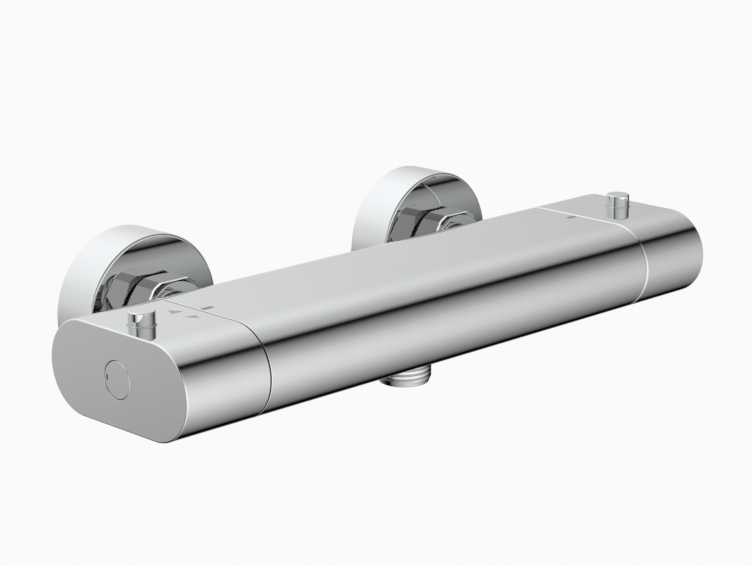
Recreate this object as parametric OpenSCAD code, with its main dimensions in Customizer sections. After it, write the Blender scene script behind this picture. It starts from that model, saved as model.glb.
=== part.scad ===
// Thermostatic shower valve of the flat bar kind, for an exposed wall mounting.
// X runs along the bar to the right, Y into the wall and Z up. The origin lies on the
// wall plane, midway between the two inlets and level with the axis of the bar.

/* [Body] */
// Length of the middle body, seam to seam
body_l = 199.2; // [194:0.1:206]
// Depth of the flat section, front to back
section_d = 72.5; // [70:0.5:80]
// Height of the flat section
section_h = 34.2; // [34:0.1:38]
// Distance from the wall to the axis of the bar
axis_to_wall = 74.5; // [73:0.5:84]
// Wall of the chromed body sleeve
shell_t = 2.2; // [1.8:0.1:2.3]
// Broken edge at the outer end of each handle
edge_break = 0.4; // [0.2:0.1:1]
// Broken edge on each side of the left seam, and of the body at the right one
seam_break = 0.2; // [0.1:0.05:0.4]
// Broken edge of the right handle at its seam
grip_break = 0.5; // [0.2:0.1:0.8]
// Thickness of the plate that closes each end of the body sleeve
plate_t = 3; // [2:0.1:3.4]

/* [Handles] */
// Gap between the body and a handle
seam_gap = 0.5; // [0.3:0.1:1]
// Length of a handle
handle_l = 36.4; // [36:0.1:42]
// Side wall of a handle
handle_t = 2; // [1.6:0.1:2.4]
// End wall of a handle
handle_end_t = 2.6; // [2.2:0.1:3.2]
// Wall of the skirt of the handle insert
skirt_t = 1.6; // [1.2:0.1:2.4]
// Thickness of the end plate of the handle insert
insert_plate_t = 2; // [1.6:0.1:2.2]
// Diameter of the hub of the handle insert
hub_d = 16; // [15:0.5:17]

/* [End caps] */
// Diameter of an end cap
cap_d = 13.3; // [12.8:0.1:15]
// Thickness of the disc of an end cap
cap_t = 1.4; // [1:0.1:1.8]
// Gap round an end cap
cap_gap = 0.15; // [0.1:0.05:0.3]
// Depth of the edge break on an end cap
cap_break = 0.15; // [0.1:0.05:0.3]

/* [Buttons] */
// Diameter of a stop button
button_d = 9.4; // [9:0.1:11]
// Height that a stop button stands above the handle
button_rise = 5; // [4:0.1:7]
// Distance from the seam end of the handle to the axis of the button
button_at = 25.1; // [24:0.1:26]
// Travel of a stop button
button_travel = 3; // [2:0.1:3.2]
// Wall of the guide bush round a button
bush_t = 0.35; // [0.3:0.05:0.6]
// Height that the guide bush stands above the handle
bush_rise = 0.35; // [0.2:0.05:0.6]
// Wire of a button spring
button_wire = 0.5; // [0.4:0.05:0.6]
// Turns of a button spring
button_turns = 4; // [3:0.5:5]

/* [Inlets] */
// Distance from each end of the body to its inlet, for inlets 150 apart
inlet_inset = 24.6; // [24:0.1:27]
// Diameter of a rosette
rosette_d = 60.4; // [56:0.1:66]
// Depth of a rosette
rosette_depth = 18.7; // [17:0.1:22]
// Wall of a rosette
rosette_t = 1.2; // [0.9:0.1:1.6]
// Gap between a rosette and its union nut
rosette_gap = 1.8; // [1:0.1:3]
// Width across flats of a union nut
nut_af = 29.8; // [29.2:0.1:32]
// Length of a union nut
nut_l = 11; // [10:0.1:14]
// Diameter of a union nut over its cut corners
nut_corner_d = 32.4; // [31.4:0.1:34]
// Broken edge of the hexagon at the front of a union nut
nut_break = 0.7; // [0.3:0.1:1]
// Diameter of the round boss in front of a union nut
nut_boss_d = 29; // [27:0.1:29.4]
// Length of the round boss in front of a union nut
nut_boss_l = 1.5; // [1:0.1:2.5]
// Gap between a union nut and the collar of its tail
collar_gap = 3; // [2:0.1:4]
// Diameter of the collar that clamps a tail on the waterway
collar_d = 21.2; // [20.6:0.1:22]
// Outside diameter of the G 3/4 union thread
union_thread_d = 26.44; // [26.2:0.01:27]
// Outside diameter of the G 1/2 pipe thread
pipe_thread_d = 20.956; // [20.5:0.001:21.2]
// Offset of the wall thread below the union
offset_drop = 10; // [6:0.5:12]
// Length of the wall thread beyond the wall plane
wall_thread_l = 22; // [16:0.5:30]
// Lift of a check valve off its seat
check_lift = 2.5; // [1.5:0.1:3]

/* [Outlet] */
// Length of the outlet below the body
outlet_l = 13; // [11:0.1:18]
// Bore of the outlet
outlet_bore = 13; // [11:0.1:15]
// Distance from the middle of the body to the outlet
outlet_x = 0; // [-8:0.5:4]

/* [Cartridges] */
// Diameter of both cartridges
cartridge_d = 24; // [23:0.1:24.4]
// Diameter of the cartridge nose inside a handle
nose_d = 17; // [16:0.1:17.2]
// Length of the flow cartridge behind its shoulder
flow_l = 28; // [28:0.1:32]
// Length of the thermostat cartridge behind its shoulder
thermostat_l = 46; // [46:0.1:50]
// Diameter of a spindle in its bearing
spindle_d = 9; // [8.4:0.1:9.6]
// Thickness of a ceramic disc
disc_t = 3.5; // [3:0.1:4]
// Diameter of the mixing spool
spool_d = 17; // [16:0.1:17.6]
// Travel of the mixing spool to each of its seats
spool_gap = 1.6; // [1.6:0.1:2]
// Diameter of the wax element
wax_d = 9; // [8:0.1:9.4]
// Turn of the flow handle from shut to full flow
flow_turn = 90; // [60:1:120]
// Turn of the temperature handle to the cold end
cold_turn = 120; // [90:1:150]
// Turn of the temperature handle to the hot end
hot_turn = 60; // [30:1:80]

/* [Clearances] */
// Radial clearance of a shaft in its bearing
running = 0.05; // [0.02:0.01:0.1]
// Clearance between fixed pieces
fit = 0.1; // [0.05:0.01:0.15]
// Radial clearance of a plain cylinder that stands for a thread
thread_fit = 0.08; // [0.05:0.01:0.1]

/* [Hidden] */
$fn = 96;
eps = 1;
chrome = [0.80, 0.81, 0.83];
brass = [0.78, 0.63, 0.30];
grey_plastic = [0.45, 0.46, 0.48];
white_plastic = [0.88, 0.88, 0.86];
ceramic = [0.93, 0.92, 0.88];
rubber = [0.10, 0.10, 0.11];
steel = [0.62, 0.63, 0.65];
copper = [0.72, 0.43, 0.26];

half_h = section_h / 2;
seam = body_l / 2;
handle_in = seam + seam_gap;
handle_out = handle_in + handle_l;
handle_floor = handle_out - handle_end_t;
cavity_half = half_h - handle_t;
button_z = handle_in + button_at;
inlet_x = seam - inlet_inset;

// Breaks on turned edges, and the room beside an O-ring in its groove
edge = 0.3;
lead = 1.2;
cartridge_wire = 1.5;
small_wire = 1.2;
seal_room = 0.7;

// The end plates and barrel mouths of the body
plate_recess = 0.3;
plate_out = seam - plate_recess;
plate_in = plate_out - plate_t;
barrel_end = plate_in - fit;
barrel_r = half_h - shell_t - 2 * fit;
bore_r = cartridge_d / 2 + fit;
gland_r = cartridge_d / 2 + 1;
gland_af = 2 * gland_r - 4;
gland_out = seam - 2 * plate_recess;
shoulder_depth = 9.6;
shoulder = seam - shoulder_depth;
flow_end = shoulder - flow_l;
thermostat_end = shoulder - thermostat_l;

// The side tubes and bosses of the waterway
channel_r = 4.5;
channel_wall = 3;
channel_y = cartridge_d / 2 + 6.5;
port_r = 4;
boss_r = 12;
boss_y = 27;
seat_thread_r = 9.5;
seat_thread_l = 3.5;
supply_r = 6;
centre_r = 8;
centre_past = 9;
mix_chamber_l = 10;
mix_chamber_r = 9;
mix_port = thermostat_end - mix_chamber_l / 2;
hot_port = thermostat_end + 8;
spigot_r = 9;
spigot_l = 6;
outlet_seal_z = spigot_l - barrel_r - 2 * small_wire;

// The inlet stack, as distances from the wall
nut_in = rosette_depth + rosette_gap;
nut_out = nut_in + nut_l;
nut_shoulder_t = 2.9;
nut_shoulder = nut_out - nut_shoulder_t;
back_arc = axis_to_wall - (section_d - section_h) / 2;
nut_front = nut_out + nut_boss_l;
collar_in = nut_front + collar_gap;
collar_out = axis_to_wall - boss_y - fit;
lip_t = 1.5;
lip_in = nut_shoulder - 2 * fit - lip_t;
lip_r = union_thread_d / 2 - 1;
tail_r = 9.8;
washer_t = 1.5;
washer_in = lip_in - washer_t - fit;
union_end = washer_in - fit;
union_bore_r = 8.5;
wall_bore_r = 7.8;
block_in = 1.5;
block_out = 9;
block_mid = (block_in + block_out) / 2;
neck_in = block_out + 1;
neck_t = 1.8;

// The check valves, as distances from the wall
valve_r = 7.4;
valve_wall = 0.9;
valve_l = 11.5;
valve_in = lip_in + fit;
valve_out = valve_in + valve_l;
valve_seat_t = 1.5;
valve_seat_r = 4.4;
poppet_in = valve_in + valve_seat_t + fit;
poppet_t = 1.5;
poppet_r = 5.6;
stem_r = 1;
stem_past = 2;
guide_r = 2;
spider_t = 1.2;
spider_in = valve_out - spider_t;
spoke_w = 1;
check_spring_r = 2.4;
check_wire = 0.5;
check_turns = 5;

// The handle interior
insert_out = handle_floor - fit;
insert_in = insert_out - insert_plate_t;
hub_r = hub_d / 2;
rib_t = 2;
head_recess = 3.5;
head_seat = insert_out - head_recess;
head_h = 2.3;
head_r = 3.5;
hex_af = 3;
hex_depth = 1.5;
screw_r = 2;
screw_l = 10;
spline_r = 4;
spline_end = head_seat - 2;
spindle_out = spline_end - 3 * fit;
nose_out = button_z - 4.2;
hub_in = nose_out + 3 * fit;
cap_out = handle_out - fit;
cap_in = cap_out - cap_t;
plug_r = 5.8;
plug_t = 1.2;
plug_in = insert_out - 0.6;

// The stop buttons, as distances from the axis of the bar
flange_top = cavity_half - 0.3;
flange_t = 2.8;
flange_bottom = flange_top - flange_t;
flange_r = button_d / 2 + 1;
peg_r = 1.6;
peg_l = 2.4;
pocket_floor = 6;
pocket_r = 3;
button_spring_r = 2.3;
arm_t = 1.6;
arm_w = 5;

// The stop rings, as distances along the bar
ring_out = nose_out - 10.5;
ring_t = 4.5;
ring_r = cavity_half - 0.8;
lug_l = 4.5;
lug_margin = asin(arm_w / 2 / (flange_bottom - button_travel)) + 3;
arm_end = ring_out + 0.7;

// The flow cartridge, as distances along the bar
flow_bore_r = 9.6;
flow_mouth_r = 8.4;
disc_r = 9.5;
disc_port_out = 7.8;
disc_port_in = 3.2;
disc_port_half = 38;
seal_in = flow_end + 3 * fit;
seal_t = 1.9;
disc_in = seal_in + seal_t;
moving_in = disc_in + disc_t + running;
drive_slot = 3;
drive_depth = 1.5;
foot_in = moving_in + disc_t + running;
foot_t = 3.7;
foot_r = 7;
foot_out = foot_in + foot_t;
flow_waist_l = 9;
flow_waist = [moving_in, moving_in + flow_waist_l];
flow_port = moving_in + disc_t;

// The thermostat, as distances along the bar
end_wall_t = 2.2;
end_port_half = 48;
hot_seat = thermostat_end + 9;
cold_seat = hot_seat + 16;
spool_in = hot_seat + spool_gap;
spool_out = cold_seat - spool_gap;
spool_r = spool_d / 2;
spool_wall = 1.2;
spool_hub_in = spool_in + 6;
spool_hub_t = 2;
spool_hub_wall = 1.4;
seat_land = 0.9;
wax_in = thermostat_end + 3;
wax_flange = spool_hub_in + spool_hub_t + fit;
wax_flange_t = 1.5;
piston_r = 1.5;
wax_neck_r = 2.4;
piston_bare_l = 3.6;
return_wire = 0.9;
return_turns = 6;
carriage_r = 7;
carriage_in = cold_seat + 2.5;
carriage_out = shoulder - 4;
carriage_bore_r = 5.2;
carriage_mouth_r = 4.2;
screw_thread_r = 3;
plunger_in = carriage_in + 1.6;
plunger_t = 1.5;
cup_end = carriage_out - 4;
overload_wire = 1;
overload_turns = 4;
collar_r = 6;
collar_t = 1.9;
collar_chamber = shoulder - 1.5;
hot_waist = [thermostat_end + 4, thermostat_end + 12.5];
cold_waist = [cold_seat - 3.5, shoulder - 12];
waist_depth = 1.8;
window_w = 3.2;
key_w = 1.6;
key_r = 7.9;

// The O-rings on the cartridges
outer_seal = shoulder - 8;
flow_seal_places = [flow_end + 2, outer_seal];
thermostat_seal_places = [thermostat_end + 2, (hot_waist[1] + cold_waist[0]) / 2, outer_seal];
spindle_seal = shoulder + 8;

// The children's Z axis lies along the bar, their X points to the wall and their Y up
module along_bar() {
    translate([0, -axis_to_wall, 0])
        rotate([90, 0, 90])
            children();
}

// The temperature side is on the right, and the flow side on the left
module temperature_side() {
    along_bar() children();
}

module flow_side() {
    mirror([1, 0, 0]) along_bar() children();
}

// The children's Z axis points from the wall to the bar, and their Y up
module inlet(side) {
    translate([side * inlet_x, 0, 0])
        rotate([90, 0, 0])
            children();
}

module both_inlets() {
    for (side = [-1, 1])
        inlet(side) children();
}

module rod(z0, z1, r) {
    translate([0, 0, z0])
        cylinder(h = z1 - z0, r = r);
}

// A rod with a broken edge at both ends
module turned_rod(z0, z1, r, c0, c1) {
    rotate_extrude()
        polygon([[0, z0], [r - c0, z0], [r, z0 + c0], [r, z1 - c1], [r - c1, z1], [0, z1]]);
}

module tube(z0, z1, r_out, r_in) {
    difference() {
        rod(z0, z1, r_out);
        rod(z0 - eps, z1 + eps, r_in);
    }
}

module o_ring(z, r_out, wire) {
    translate([0, 0, z])
        rotate_extrude()
            translate([r_out - wire / 2, 0])
                circle(d = wire, $fn = 24);
}

// A hexagonal bar of a width across flats, with a broken edge at its far end
module hexagon_bar(z0, z1, flats, c) {
    intersection_for(i = [0 : 2])
        rotate(30 + i * 60)
            rotate([90, 0, 0])
                linear_extrude(2 * flats, center = true)
                    polygon([
                        [-flats / 2, z0], [flats / 2, z0], [flats / 2, z1 - c],
                        [flats / 2 - c, z1], [c - flats / 2, z1], [-flats / 2, z1 - c]
                    ]);
}

// A ring-shaped cut into a rod
module waist(span, r_out, depth) {
    tube(span[0], span[1], r_out + eps, r_out - depth);
}

// The groove for an O-ring of a given wire
module seal_cut(z, r_out, wire) {
    half = (wire + seal_room) / 2;
    waist([z - half, z + half], r_out, wire + fit);
}

module racetrack(w, h) {
    square([w - h, h], center = true);
    for (side = [-1, 1])
        translate([side * (w - h) / 2, 0])
            circle(d = h);
}

module racetrack_bar(z0, z1, w, h) {
    translate([0, 0, z0])
        linear_extrude(z1 - z0)
            racetrack(w, h);
}

// A racetrack bar with a broken edge at both ends
module broken_bar(z0, z1, w, h, c0, c1) {
    for (side = [-1, 1])
        translate([side * (w - h) / 2, 0, 0])
            turned_rod(z0, z1, h / 2, c0, c1);
    translate([-(w - h) / 2, 0, 0])
        rotate([90, 0, 90])
            linear_extrude(w - h)
                polygon([
                    [-h / 2 + c0, z0], [h / 2 - c0, z0], [h / 2, z0 + c0], [h / 2, z1 - c1],
                    [h / 2 - c1, z1], [c1 - h / 2, z1], [-h / 2, z1 - c1], [-h / 2, z0 + c0]
                ]);
}

// A slice of a circle, as an outline
module sector(a0, a1, r) {
    steps = 12;
    polygon(concat(
        [[0, 0]],
        [for (i = [0 : steps]) let (a = a0 + (a1 - a0) * i / steps) r * [cos(a), sin(a)]]
    ));
}

// A round outline with square teeth
module spline(r, grow) {
    teeth = 12;
    circle(r = r - 0.5 + grow);
    for (i = [0 : teeth - 1])
        rotate(i * 360 / teeth)
            translate([0, -0.4 - grow])
                square([r + grow, 0.8 + 2 * grow]);
}

// A round wire wound at a steady pitch, as one closed skin
module coil(z0, z1, mean_r, wire, turns) {
    rings = 8;
    sides = 6;
    count = round(rings * turns);
    rise = z1 - z0 - wire;
    lean = atan2(rise / turns, 2 * PI * mean_r);
    points = [
        for (i = [0 : count]) let (a = 360 * i / rings, z = z0 + wire / 2 + rise * i / count)
            for (j = [0 : sides - 1]) let (b = 360 * j / sides, u = wire / 2 * cos(b), v = wire / 2 * sin(b))
                [
                    (mean_r + u) * cos(a) + v * sin(lean) * sin(a),
                    (mean_r + u) * sin(a) - v * sin(lean) * cos(a),
                    z + v * cos(lean)
                ]
    ];
    walls = [
        for (i = [0 : count - 1])
            for (j = [0 : sides - 1])
                let (k = (j + 1) % sides, p = i * sides, q = p + sides)
                    each [[p + j, q + j, q + k], [p + j, q + k, p + k]]
    ];
    first_end = [for (j = [1 : sides - 2]) [0, j, j + 1]];
    last = count * sides;
    last_end = [for (j = [1 : sides - 2]) [last, last + j + 1, last + j]];
    least_gap = min([
        for (i = [0 : count - rings])
            norm(points[(i + rings) * sides] - points[i * sides]) - wire
    ]);
    echo(str("least gap between turns: ", least_gap));
    polyhedron(points = points, faces = concat(walls, first_end, last_end));
}

module body_shell() {
    color(chrome)
        difference() {
            along_bar()
                broken_bar(-seam, seam, section_d, section_h, seam_break, seam_break);
            along_bar()
                racetrack_bar(
                    -seam - eps, seam + eps, section_d - 2 * shell_t, section_h - 2 * shell_t
                );
            both_inlets()
                rod(0, back_arc, collar_d / 2 + fit);
            translate([outlet_x, -axis_to_wall, -half_h - eps])
                cylinder(h = shell_t + 2 * eps, r = pipe_thread_d / 2 + 3 * fit);
        }
}

// The casting that carries the water, three tubes joined by a web
module waterway() {
    color(brass)
        difference() {
            union() {
                along_bar() {
                    rod(-barrel_end, barrel_end, barrel_r);
                    for (side = [-1, 1])
                        translate([side * channel_y, 0, 0])
                            rod(-inlet_x - boss_r, inlet_x + boss_r, channel_r + channel_wall);
                    translate([-channel_y, -channel_wall, -inlet_x])
                        cube([2 * channel_y, 2 * channel_wall, 2 * inlet_x]);
                }
                for (side = [-1, 1])
                    translate([side * inlet_x, -axis_to_wall, 0])
                        rotate([-90, 0, 0])
                            rod(0, boss_y, boss_r);
                translate([outlet_x, -axis_to_wall, -barrel_r])
                    cylinder(h = barrel_r, r = boss_r);
            }
            flow_side() {
                rod(flow_end - fit, barrel_end + eps, bore_r);
                rod(shoulder, barrel_end + eps, gland_r + thread_fit);
                rod(-outlet_x - centre_past, flow_end, centre_r);
            }
            temperature_side() {
                rod(thermostat_end - fit, barrel_end + eps, bore_r);
                rod(shoulder, barrel_end + eps, gland_r + thread_fit);
                rod(thermostat_end - mix_chamber_l, thermostat_end, mix_chamber_r);
            }
            // The hot channel runs behind the barrel, and the mixed water in front of it
            along_bar() {
                translate([channel_y, 0, 0])
                    rod(-inlet_x, hot_port, channel_r);
                translate([-channel_y, 0, 0])
                    rod(-flow_port, mix_port, channel_r);
            }
            port(hot_port, 1);
            port(mix_port, -1);
            port(-flow_port, -1);
            for (side = [-1, 1])
                inlet(side)
                    rod(collar_out, collar_out + seat_thread_l + 2 * fit, seat_thread_r + thread_fit);
            inlet(-1)
                rod(collar_out, axis_to_wall - channel_y, supply_r);
            inlet(1)
                rod(collar_out, axis_to_wall - bore_r + 2, supply_r);
            translate([outlet_x, -axis_to_wall, -barrel_r - eps])
                cylinder(h = barrel_r + eps, r = outlet_bore / 2);
            translate([outlet_x, -axis_to_wall, -barrel_r - eps])
                cylinder(h = spigot_l + eps + fit, r = spigot_r + fit);
        }
}

// A cross port between a side channel and the barrel, at a place along the bar
module port(x, side) {
    translate([x, -axis_to_wall, 0])
        rotate([-90 * side, 0, 0])
            rod(mix_chamber_r - 2, channel_y, port_r);
}

module end_plates() {
    color(grey_plastic) {
        flow_side() end_plate();
        temperature_side() end_plate();
    }
}

module end_plate() {
    room = 2 * shell_t + 2 * fit;
    difference() {
        racetrack_bar(plate_in, plate_out, section_d - room, section_h - room);
        rod(plate_in - eps, plate_out + eps, gland_r + 2 * fit);
    }
}

module outlet_nipple() {
    neck = 1;
    color(chrome)
        translate([outlet_x, -axis_to_wall, 0])
            difference() {
                union() {
                    turned_rod(-half_h - outlet_l, -half_h - neck, pipe_thread_d / 2, lead, 2 * edge);
                    rod(-half_h - neck - eps, -barrel_r - fit, pipe_thread_d / 2 - neck);
                    rod(-barrel_r - eps, spigot_l - barrel_r - fit, spigot_r);
                }
                rod(-half_h - outlet_l - eps, spigot_l - barrel_r + eps, outlet_bore / 2);
                seal_cut(outlet_seal_z, spigot_r, small_wire);
            }
}

module outlet_seal() {
    color(rubber)
        translate([outlet_x, -axis_to_wall, 0])
            o_ring(outlet_seal_z, spigot_r, small_wire);
}

// The collar clamps on the waterway, and the tail holds the union nut
module inlet_seats() {
    color(chrome)
        both_inlets()
            difference() {
                union() {
                    turned_rod(collar_in, collar_out, collar_d / 2, edge, edge);
                    rod(lip_in, collar_in + eps, tail_r);
                    rod(lip_in, lip_in + lip_t, lip_r);
                    rod(collar_out - eps, collar_out + seat_thread_l, seat_thread_r);
                }
                rod(lip_in - eps, valve_out + 2 * fit, valve_r + fit);
                rod(valve_out, collar_out + seat_thread_l + eps, supply_r);
                seal_cut(collar_out + seat_thread_l / 2, seat_thread_r, small_wire);
            }
}

module inlet_seals() {
    color(rubber)
        both_inlets()
            o_ring(collar_out + seat_thread_l / 2, seat_thread_r, small_wire);
}

// A seat at the wall side, a tube, and a spider that guides the stem of the poppet
module check_valve_housings() {
    color(white_plastic)
        both_inlets() {
            tube(valve_in, valve_in + valve_seat_t, valve_r, valve_seat_r);
            tube(valve_in + valve_seat_t - fit, valve_out, valve_r, valve_r - valve_wall);
            tube(spider_in, valve_out, guide_r, stem_r + running);
            for (i = [0 : 2])
                rotate(i * 120)
                    translate([guide_r - edge, -spoke_w / 2, spider_in])
                        cube([valve_r - valve_wall - guide_r + 2 * edge, spoke_w, spider_t]);
        }
}

module check_poppet(side) {
    color(grey_plastic)
        inlet(side) {
            turned_rod(poppet_in, poppet_in + poppet_t, poppet_r, edge, edge);
            rod(poppet_in, valve_out + stem_past, stem_r);
        }
}

module check_spring(side) {
    color(steel)
        inlet(side)
            coil(
                poppet_in + poppet_t + fit, spider_in - fit,
                check_spring_r, check_wire, check_turns
            );
}

// A rubber washer with a strainer moulded into it
module filter_washers() {
    bar_pitch = 2.4;
    bar_w = 0.5;
    bar_t = 0.6;
    color(rubber)
        both_inlets() {
            tube(washer_in, washer_in + washer_t, lip_r, valve_r - 0.4);
            for (i = [-2 : 2])
                intersection() {
                    translate([0, 0, washer_in])
                        rod((washer_t - bar_t) / 2, (washer_t + bar_t) / 2, valve_r);
                    translate([i * bar_pitch - bar_w / 2, -valve_r, washer_in])
                        cube([bar_w, 2 * valve_r, washer_t]);
                }
        }
}

// The union thread, the offset block and the wall thread of an inlet
module offset_unions() {
    overlap = 1;
    color(chrome)
        both_inlets()
            difference() {
                union() {
                    turned_rod(block_out - eps, union_end, union_thread_d / 2, fit, lead);
                    rod(block_in, block_out, union_thread_d / 2);
                    translate([0, -offset_drop, 0]) {
                        rod(block_in, block_out, boss_r);
                        turned_rod(-wall_thread_l, block_in + eps, pipe_thread_d / 2, lead, fit);
                    }
                    translate([-boss_r, -offset_drop, block_in])
                        cube([2 * boss_r, offset_drop, block_out - block_in]);
                }
                rod(block_mid - overlap, union_end + eps, union_bore_r);
                translate([0, -offset_drop, 0])
                    rod(-wall_thread_l - eps, block_mid + overlap, wall_bore_r);
            }
}

module union_nut(side) {
    color(chrome)
        inlet(side)
            difference() {
                union() {
                    intersection() {
                        turned_rod(nut_in, nut_out, nut_corner_d / 2, lead, edge);
                        hexagon_bar(nut_in, nut_out, nut_af, nut_break);
                    }
                    turned_rod(nut_out - eps, nut_front, nut_boss_d / 2, fit, edge);
                }
                rod(nut_in - eps, nut_shoulder, union_thread_d / 2 + thread_fit);
                rod(nut_in - eps, nut_front + eps, tail_r + 2 * fit);
            }
}

// A cup against the wall, with a threaded neck on the union thread
module rosette(side) {
    color(chrome)
        inlet(side)
            difference() {
                union() {
                    difference() {
                        turned_rod(0, rosette_depth, rosette_d / 2, fit, 0.5);
                        rod(-eps, rosette_depth - rosette_t, rosette_d / 2 - rosette_t);
                    }
                    rod(neck_in, rosette_depth - rosette_t / 2, union_thread_d / 2 + neck_t);
                }
                rod(0, rosette_depth + eps, union_thread_d / 2 + thread_fit);
            }
}

// The fixed housing of a cartridge, from its inner end to the tip of its nose
module cartridge_blank(inner_end) {
    turned_rod(inner_end, shoulder, cartridge_d / 2, 0.5, edge);
    rod(shoulder - eps, nose_out, nose_d / 2);
}

module seal_cuts(places) {
    for (z = places)
        seal_cut(z, cartridge_d / 2, cartridge_wire);
}

module cartridge_seals(places) {
    for (z = places)
        o_ring(z, cartridge_d / 2, cartridge_wire);
}

// A ring of ports through the wall of a cartridge
module windows(z0, z1, count) {
    for (i = [0 : count - 1])
        rotate(i * 360 / count)
            translate([window_w, -window_w / 2, z0])
                cube([cartridge_d / 2, window_w, z1 - z0]);
}

module flow_cartridge() {
    color(brass)
        flow_side()
            difference() {
                cartridge_blank(flow_end);
                rod(seal_in, foot_out + 3 * fit, flow_bore_r);
                rod(flow_end - eps, seal_in + eps, flow_mouth_r);
                rod(foot_out, nose_out + eps, spindle_d / 2 + running);
                waist(flow_waist, cartridge_d / 2, cartridge_wire);
                windows(moving_in + disc_t / 2, foot_out - 0.5, 4);
                seal_cuts(flow_seal_places);
            }
}

module flow_seals() {
    color(rubber)
        flow_side()
            cartridge_seals(flow_seal_places);
}

// Two quarter openings face to face, shut when the discs are a quarter turn apart
module disc_ports(turn) {
    for (a = [0, 180])
        rotate(a + turn)
            intersection() {
                difference() {
                    circle(r = disc_port_out);
                    circle(r = disc_port_in);
                }
                sector(-disc_port_half, disc_port_half, disc_r);
            }
}

module flow_fixed_disc() {
    color(ceramic)
        flow_side()
            translate([0, 0, disc_in])
                linear_extrude(disc_t)
                    difference() {
                        circle(r = disc_r);
                        disc_ports(0);
                    }
}

module flow_seat_seal() {
    color(rubber)
        flow_side()
            translate([0, 0, seal_in])
                linear_extrude(seal_t)
                    difference() {
                        circle(r = disc_r);
                        disc_ports(0);
                    }
}

module flow_moving_disc() {
    color(ceramic)
        flow_side()
            difference() {
                translate([0, 0, moving_in])
                    linear_extrude(disc_t)
                        difference() {
                            circle(r = disc_r - 0.2);
                            disc_ports(90);
                        }
                translate([-disc_r - eps, -drive_slot / 2, moving_in + disc_t - drive_depth])
                    cube([2 * disc_r + 2 * eps, drive_slot, drive_depth + eps]);
            }
}

// Spindle with a foot that drives the moving disc, and splines for the handle
module flow_spindle() {
    color(brass)
        flow_side()
            difference() {
                union() {
                    rod(foot_in, foot_out, foot_r);
                    translate([-disc_r + 0.8, -drive_slot / 2 + fit, foot_in - drive_depth + fit])
                        cube([2 * disc_r - 1.6, drive_slot - 2 * fit, foot_t]);
                    spindle_shaft(foot_out - eps);
                }
                screw_hole();
                seal_cut(spindle_seal, spindle_d / 2, small_wire);
            }
}

module spindle_shaft(z0) {
    rod(z0, nose_out, spindle_d / 2);
    translate([0, 0, nose_out - eps])
        linear_extrude(spindle_out - nose_out + eps)
            spline(spline_r, 0);
}

module screw_hole() {
    rod(head_seat - screw_l - 1, spindle_out + eps, screw_r + 0.3 * fit);
}

module spindle_o_ring() {
    o_ring(spindle_seal, spindle_d / 2, small_wire);
}

module flow_spindle_seal() {
    color(rubber) flow_side() spindle_o_ring();
}

module temperature_spindle_seal() {
    color(rubber) temperature_side() spindle_o_ring();
}

// The threaded gland that clamps a cartridge in its barrel
module gland_nut() {
    difference() {
        union() {
            turned_rod(shoulder + fit, barrel_end, gland_r, edge, edge);
            translate([0, 0, barrel_end - eps])
                cylinder(h = gland_out - barrel_end + eps, r = gland_af / sqrt(3), $fn = 6);
        }
        rod(shoulder - eps, gland_out + eps, nose_d / 2 + 1.5 * fit);
    }
}

module flow_gland_nut() {
    color(brass) flow_side() gland_nut();
}

module thermostat_gland_nut() {
    color(brass) temperature_side() gland_nut();
}

// The fixed stop ring: its lug stops the arm of the button at both ends of the turn
module stop_ring(low, high) {
    difference() {
        rod(ring_out - ring_t, ring_out + lug_l, ring_r);
        translate([0, 0, ring_out])
            linear_extrude(lug_l + eps)
                sector(90 + low - lug_margin, 90 + high + lug_margin, 3 * ring_r);
        rod(ring_out - ring_t - eps, ring_out + lug_l + eps, nose_d / 2 + fit / 2);
    }
}

module flow_stop_ring() {
    color(white_plastic) flow_side() stop_ring(0, flow_turn);
}

module temperature_stop_ring() {
    color(white_plastic) temperature_side() stop_ring(-cold_turn, hot_turn);
}

// A hollow handle with the outline of the body
module handle(seam_edge) {
    difference() {
        broken_bar(handle_in, handle_out, section_d, section_h, seam_edge, edge_break);
        racetrack_bar(
            handle_in - eps, handle_floor, section_d - 2 * handle_t, section_h - 2 * handle_t
        );
        rod(handle_floor - eps, handle_out + eps, cap_d / 2 + cap_gap);
        button_axis()
            rod(cavity_half - eps, half_h + eps, button_d / 2 + bush_t + running);
    }
}

// The children's Z axis runs from the axis of the bar out through a button
module button_axis() {
    translate([0, 0, button_z])
        rotate([-90, 0, 0])
            children();
}

module flow_handle() {
    color(chrome) flow_side() handle(seam_break);
}

module temperature_handle() {
    color(chrome) temperature_side() handle(grip_break);
}

// The moulding that carries a handle on its spindle
module handle_insert() {
    w = section_d - 2 * handle_t - 2 * fit;
    h = section_h - 2 * handle_t - 2 * fit;
    wing = ring_r + 2.5;
    difference() {
        union() {
            racetrack_bar(insert_in, insert_out, w, h);
            difference() {
                racetrack_bar(handle_in + 2, insert_in + eps, w, h);
                racetrack_bar(handle_in, insert_in, w - 2 * skirt_t, h - 2 * skirt_t);
                translate([-wing, -section_h, 0])
                    cube([2 * wing, 2 * section_h, handle_out]);
            }
            rod(hub_in, insert_in + eps, hub_r);
            translate([-w / 2 + skirt_t / 2, -rib_t / 2, hub_in])
                cube([w - skirt_t, rib_t, insert_in - hub_in + eps]);
        }
        translate([0, 0, hub_in - eps])
            linear_extrude(spline_end - hub_in + eps)
                spline(spline_r, fit);
        rod(hub_in, insert_out, screw_r + 2 * fit);
        rod(head_seat, insert_out + eps, head_r + 3 * fit);
        rod(plug_in - 3 * fit, insert_out + eps, plug_r + 2 * fit);
        button_axis() {
            rod(pocket_floor, cavity_half + eps, pocket_r);
            rod(flange_bottom - button_travel - 4 * fit, cavity_half + eps, flange_r + 4 * fit);
        }
    }
}

module flow_handle_insert() {
    color(grey_plastic) flow_side() handle_insert();
}

module temperature_handle_insert() {
    color(grey_plastic) temperature_side() handle_insert();
}

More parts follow.
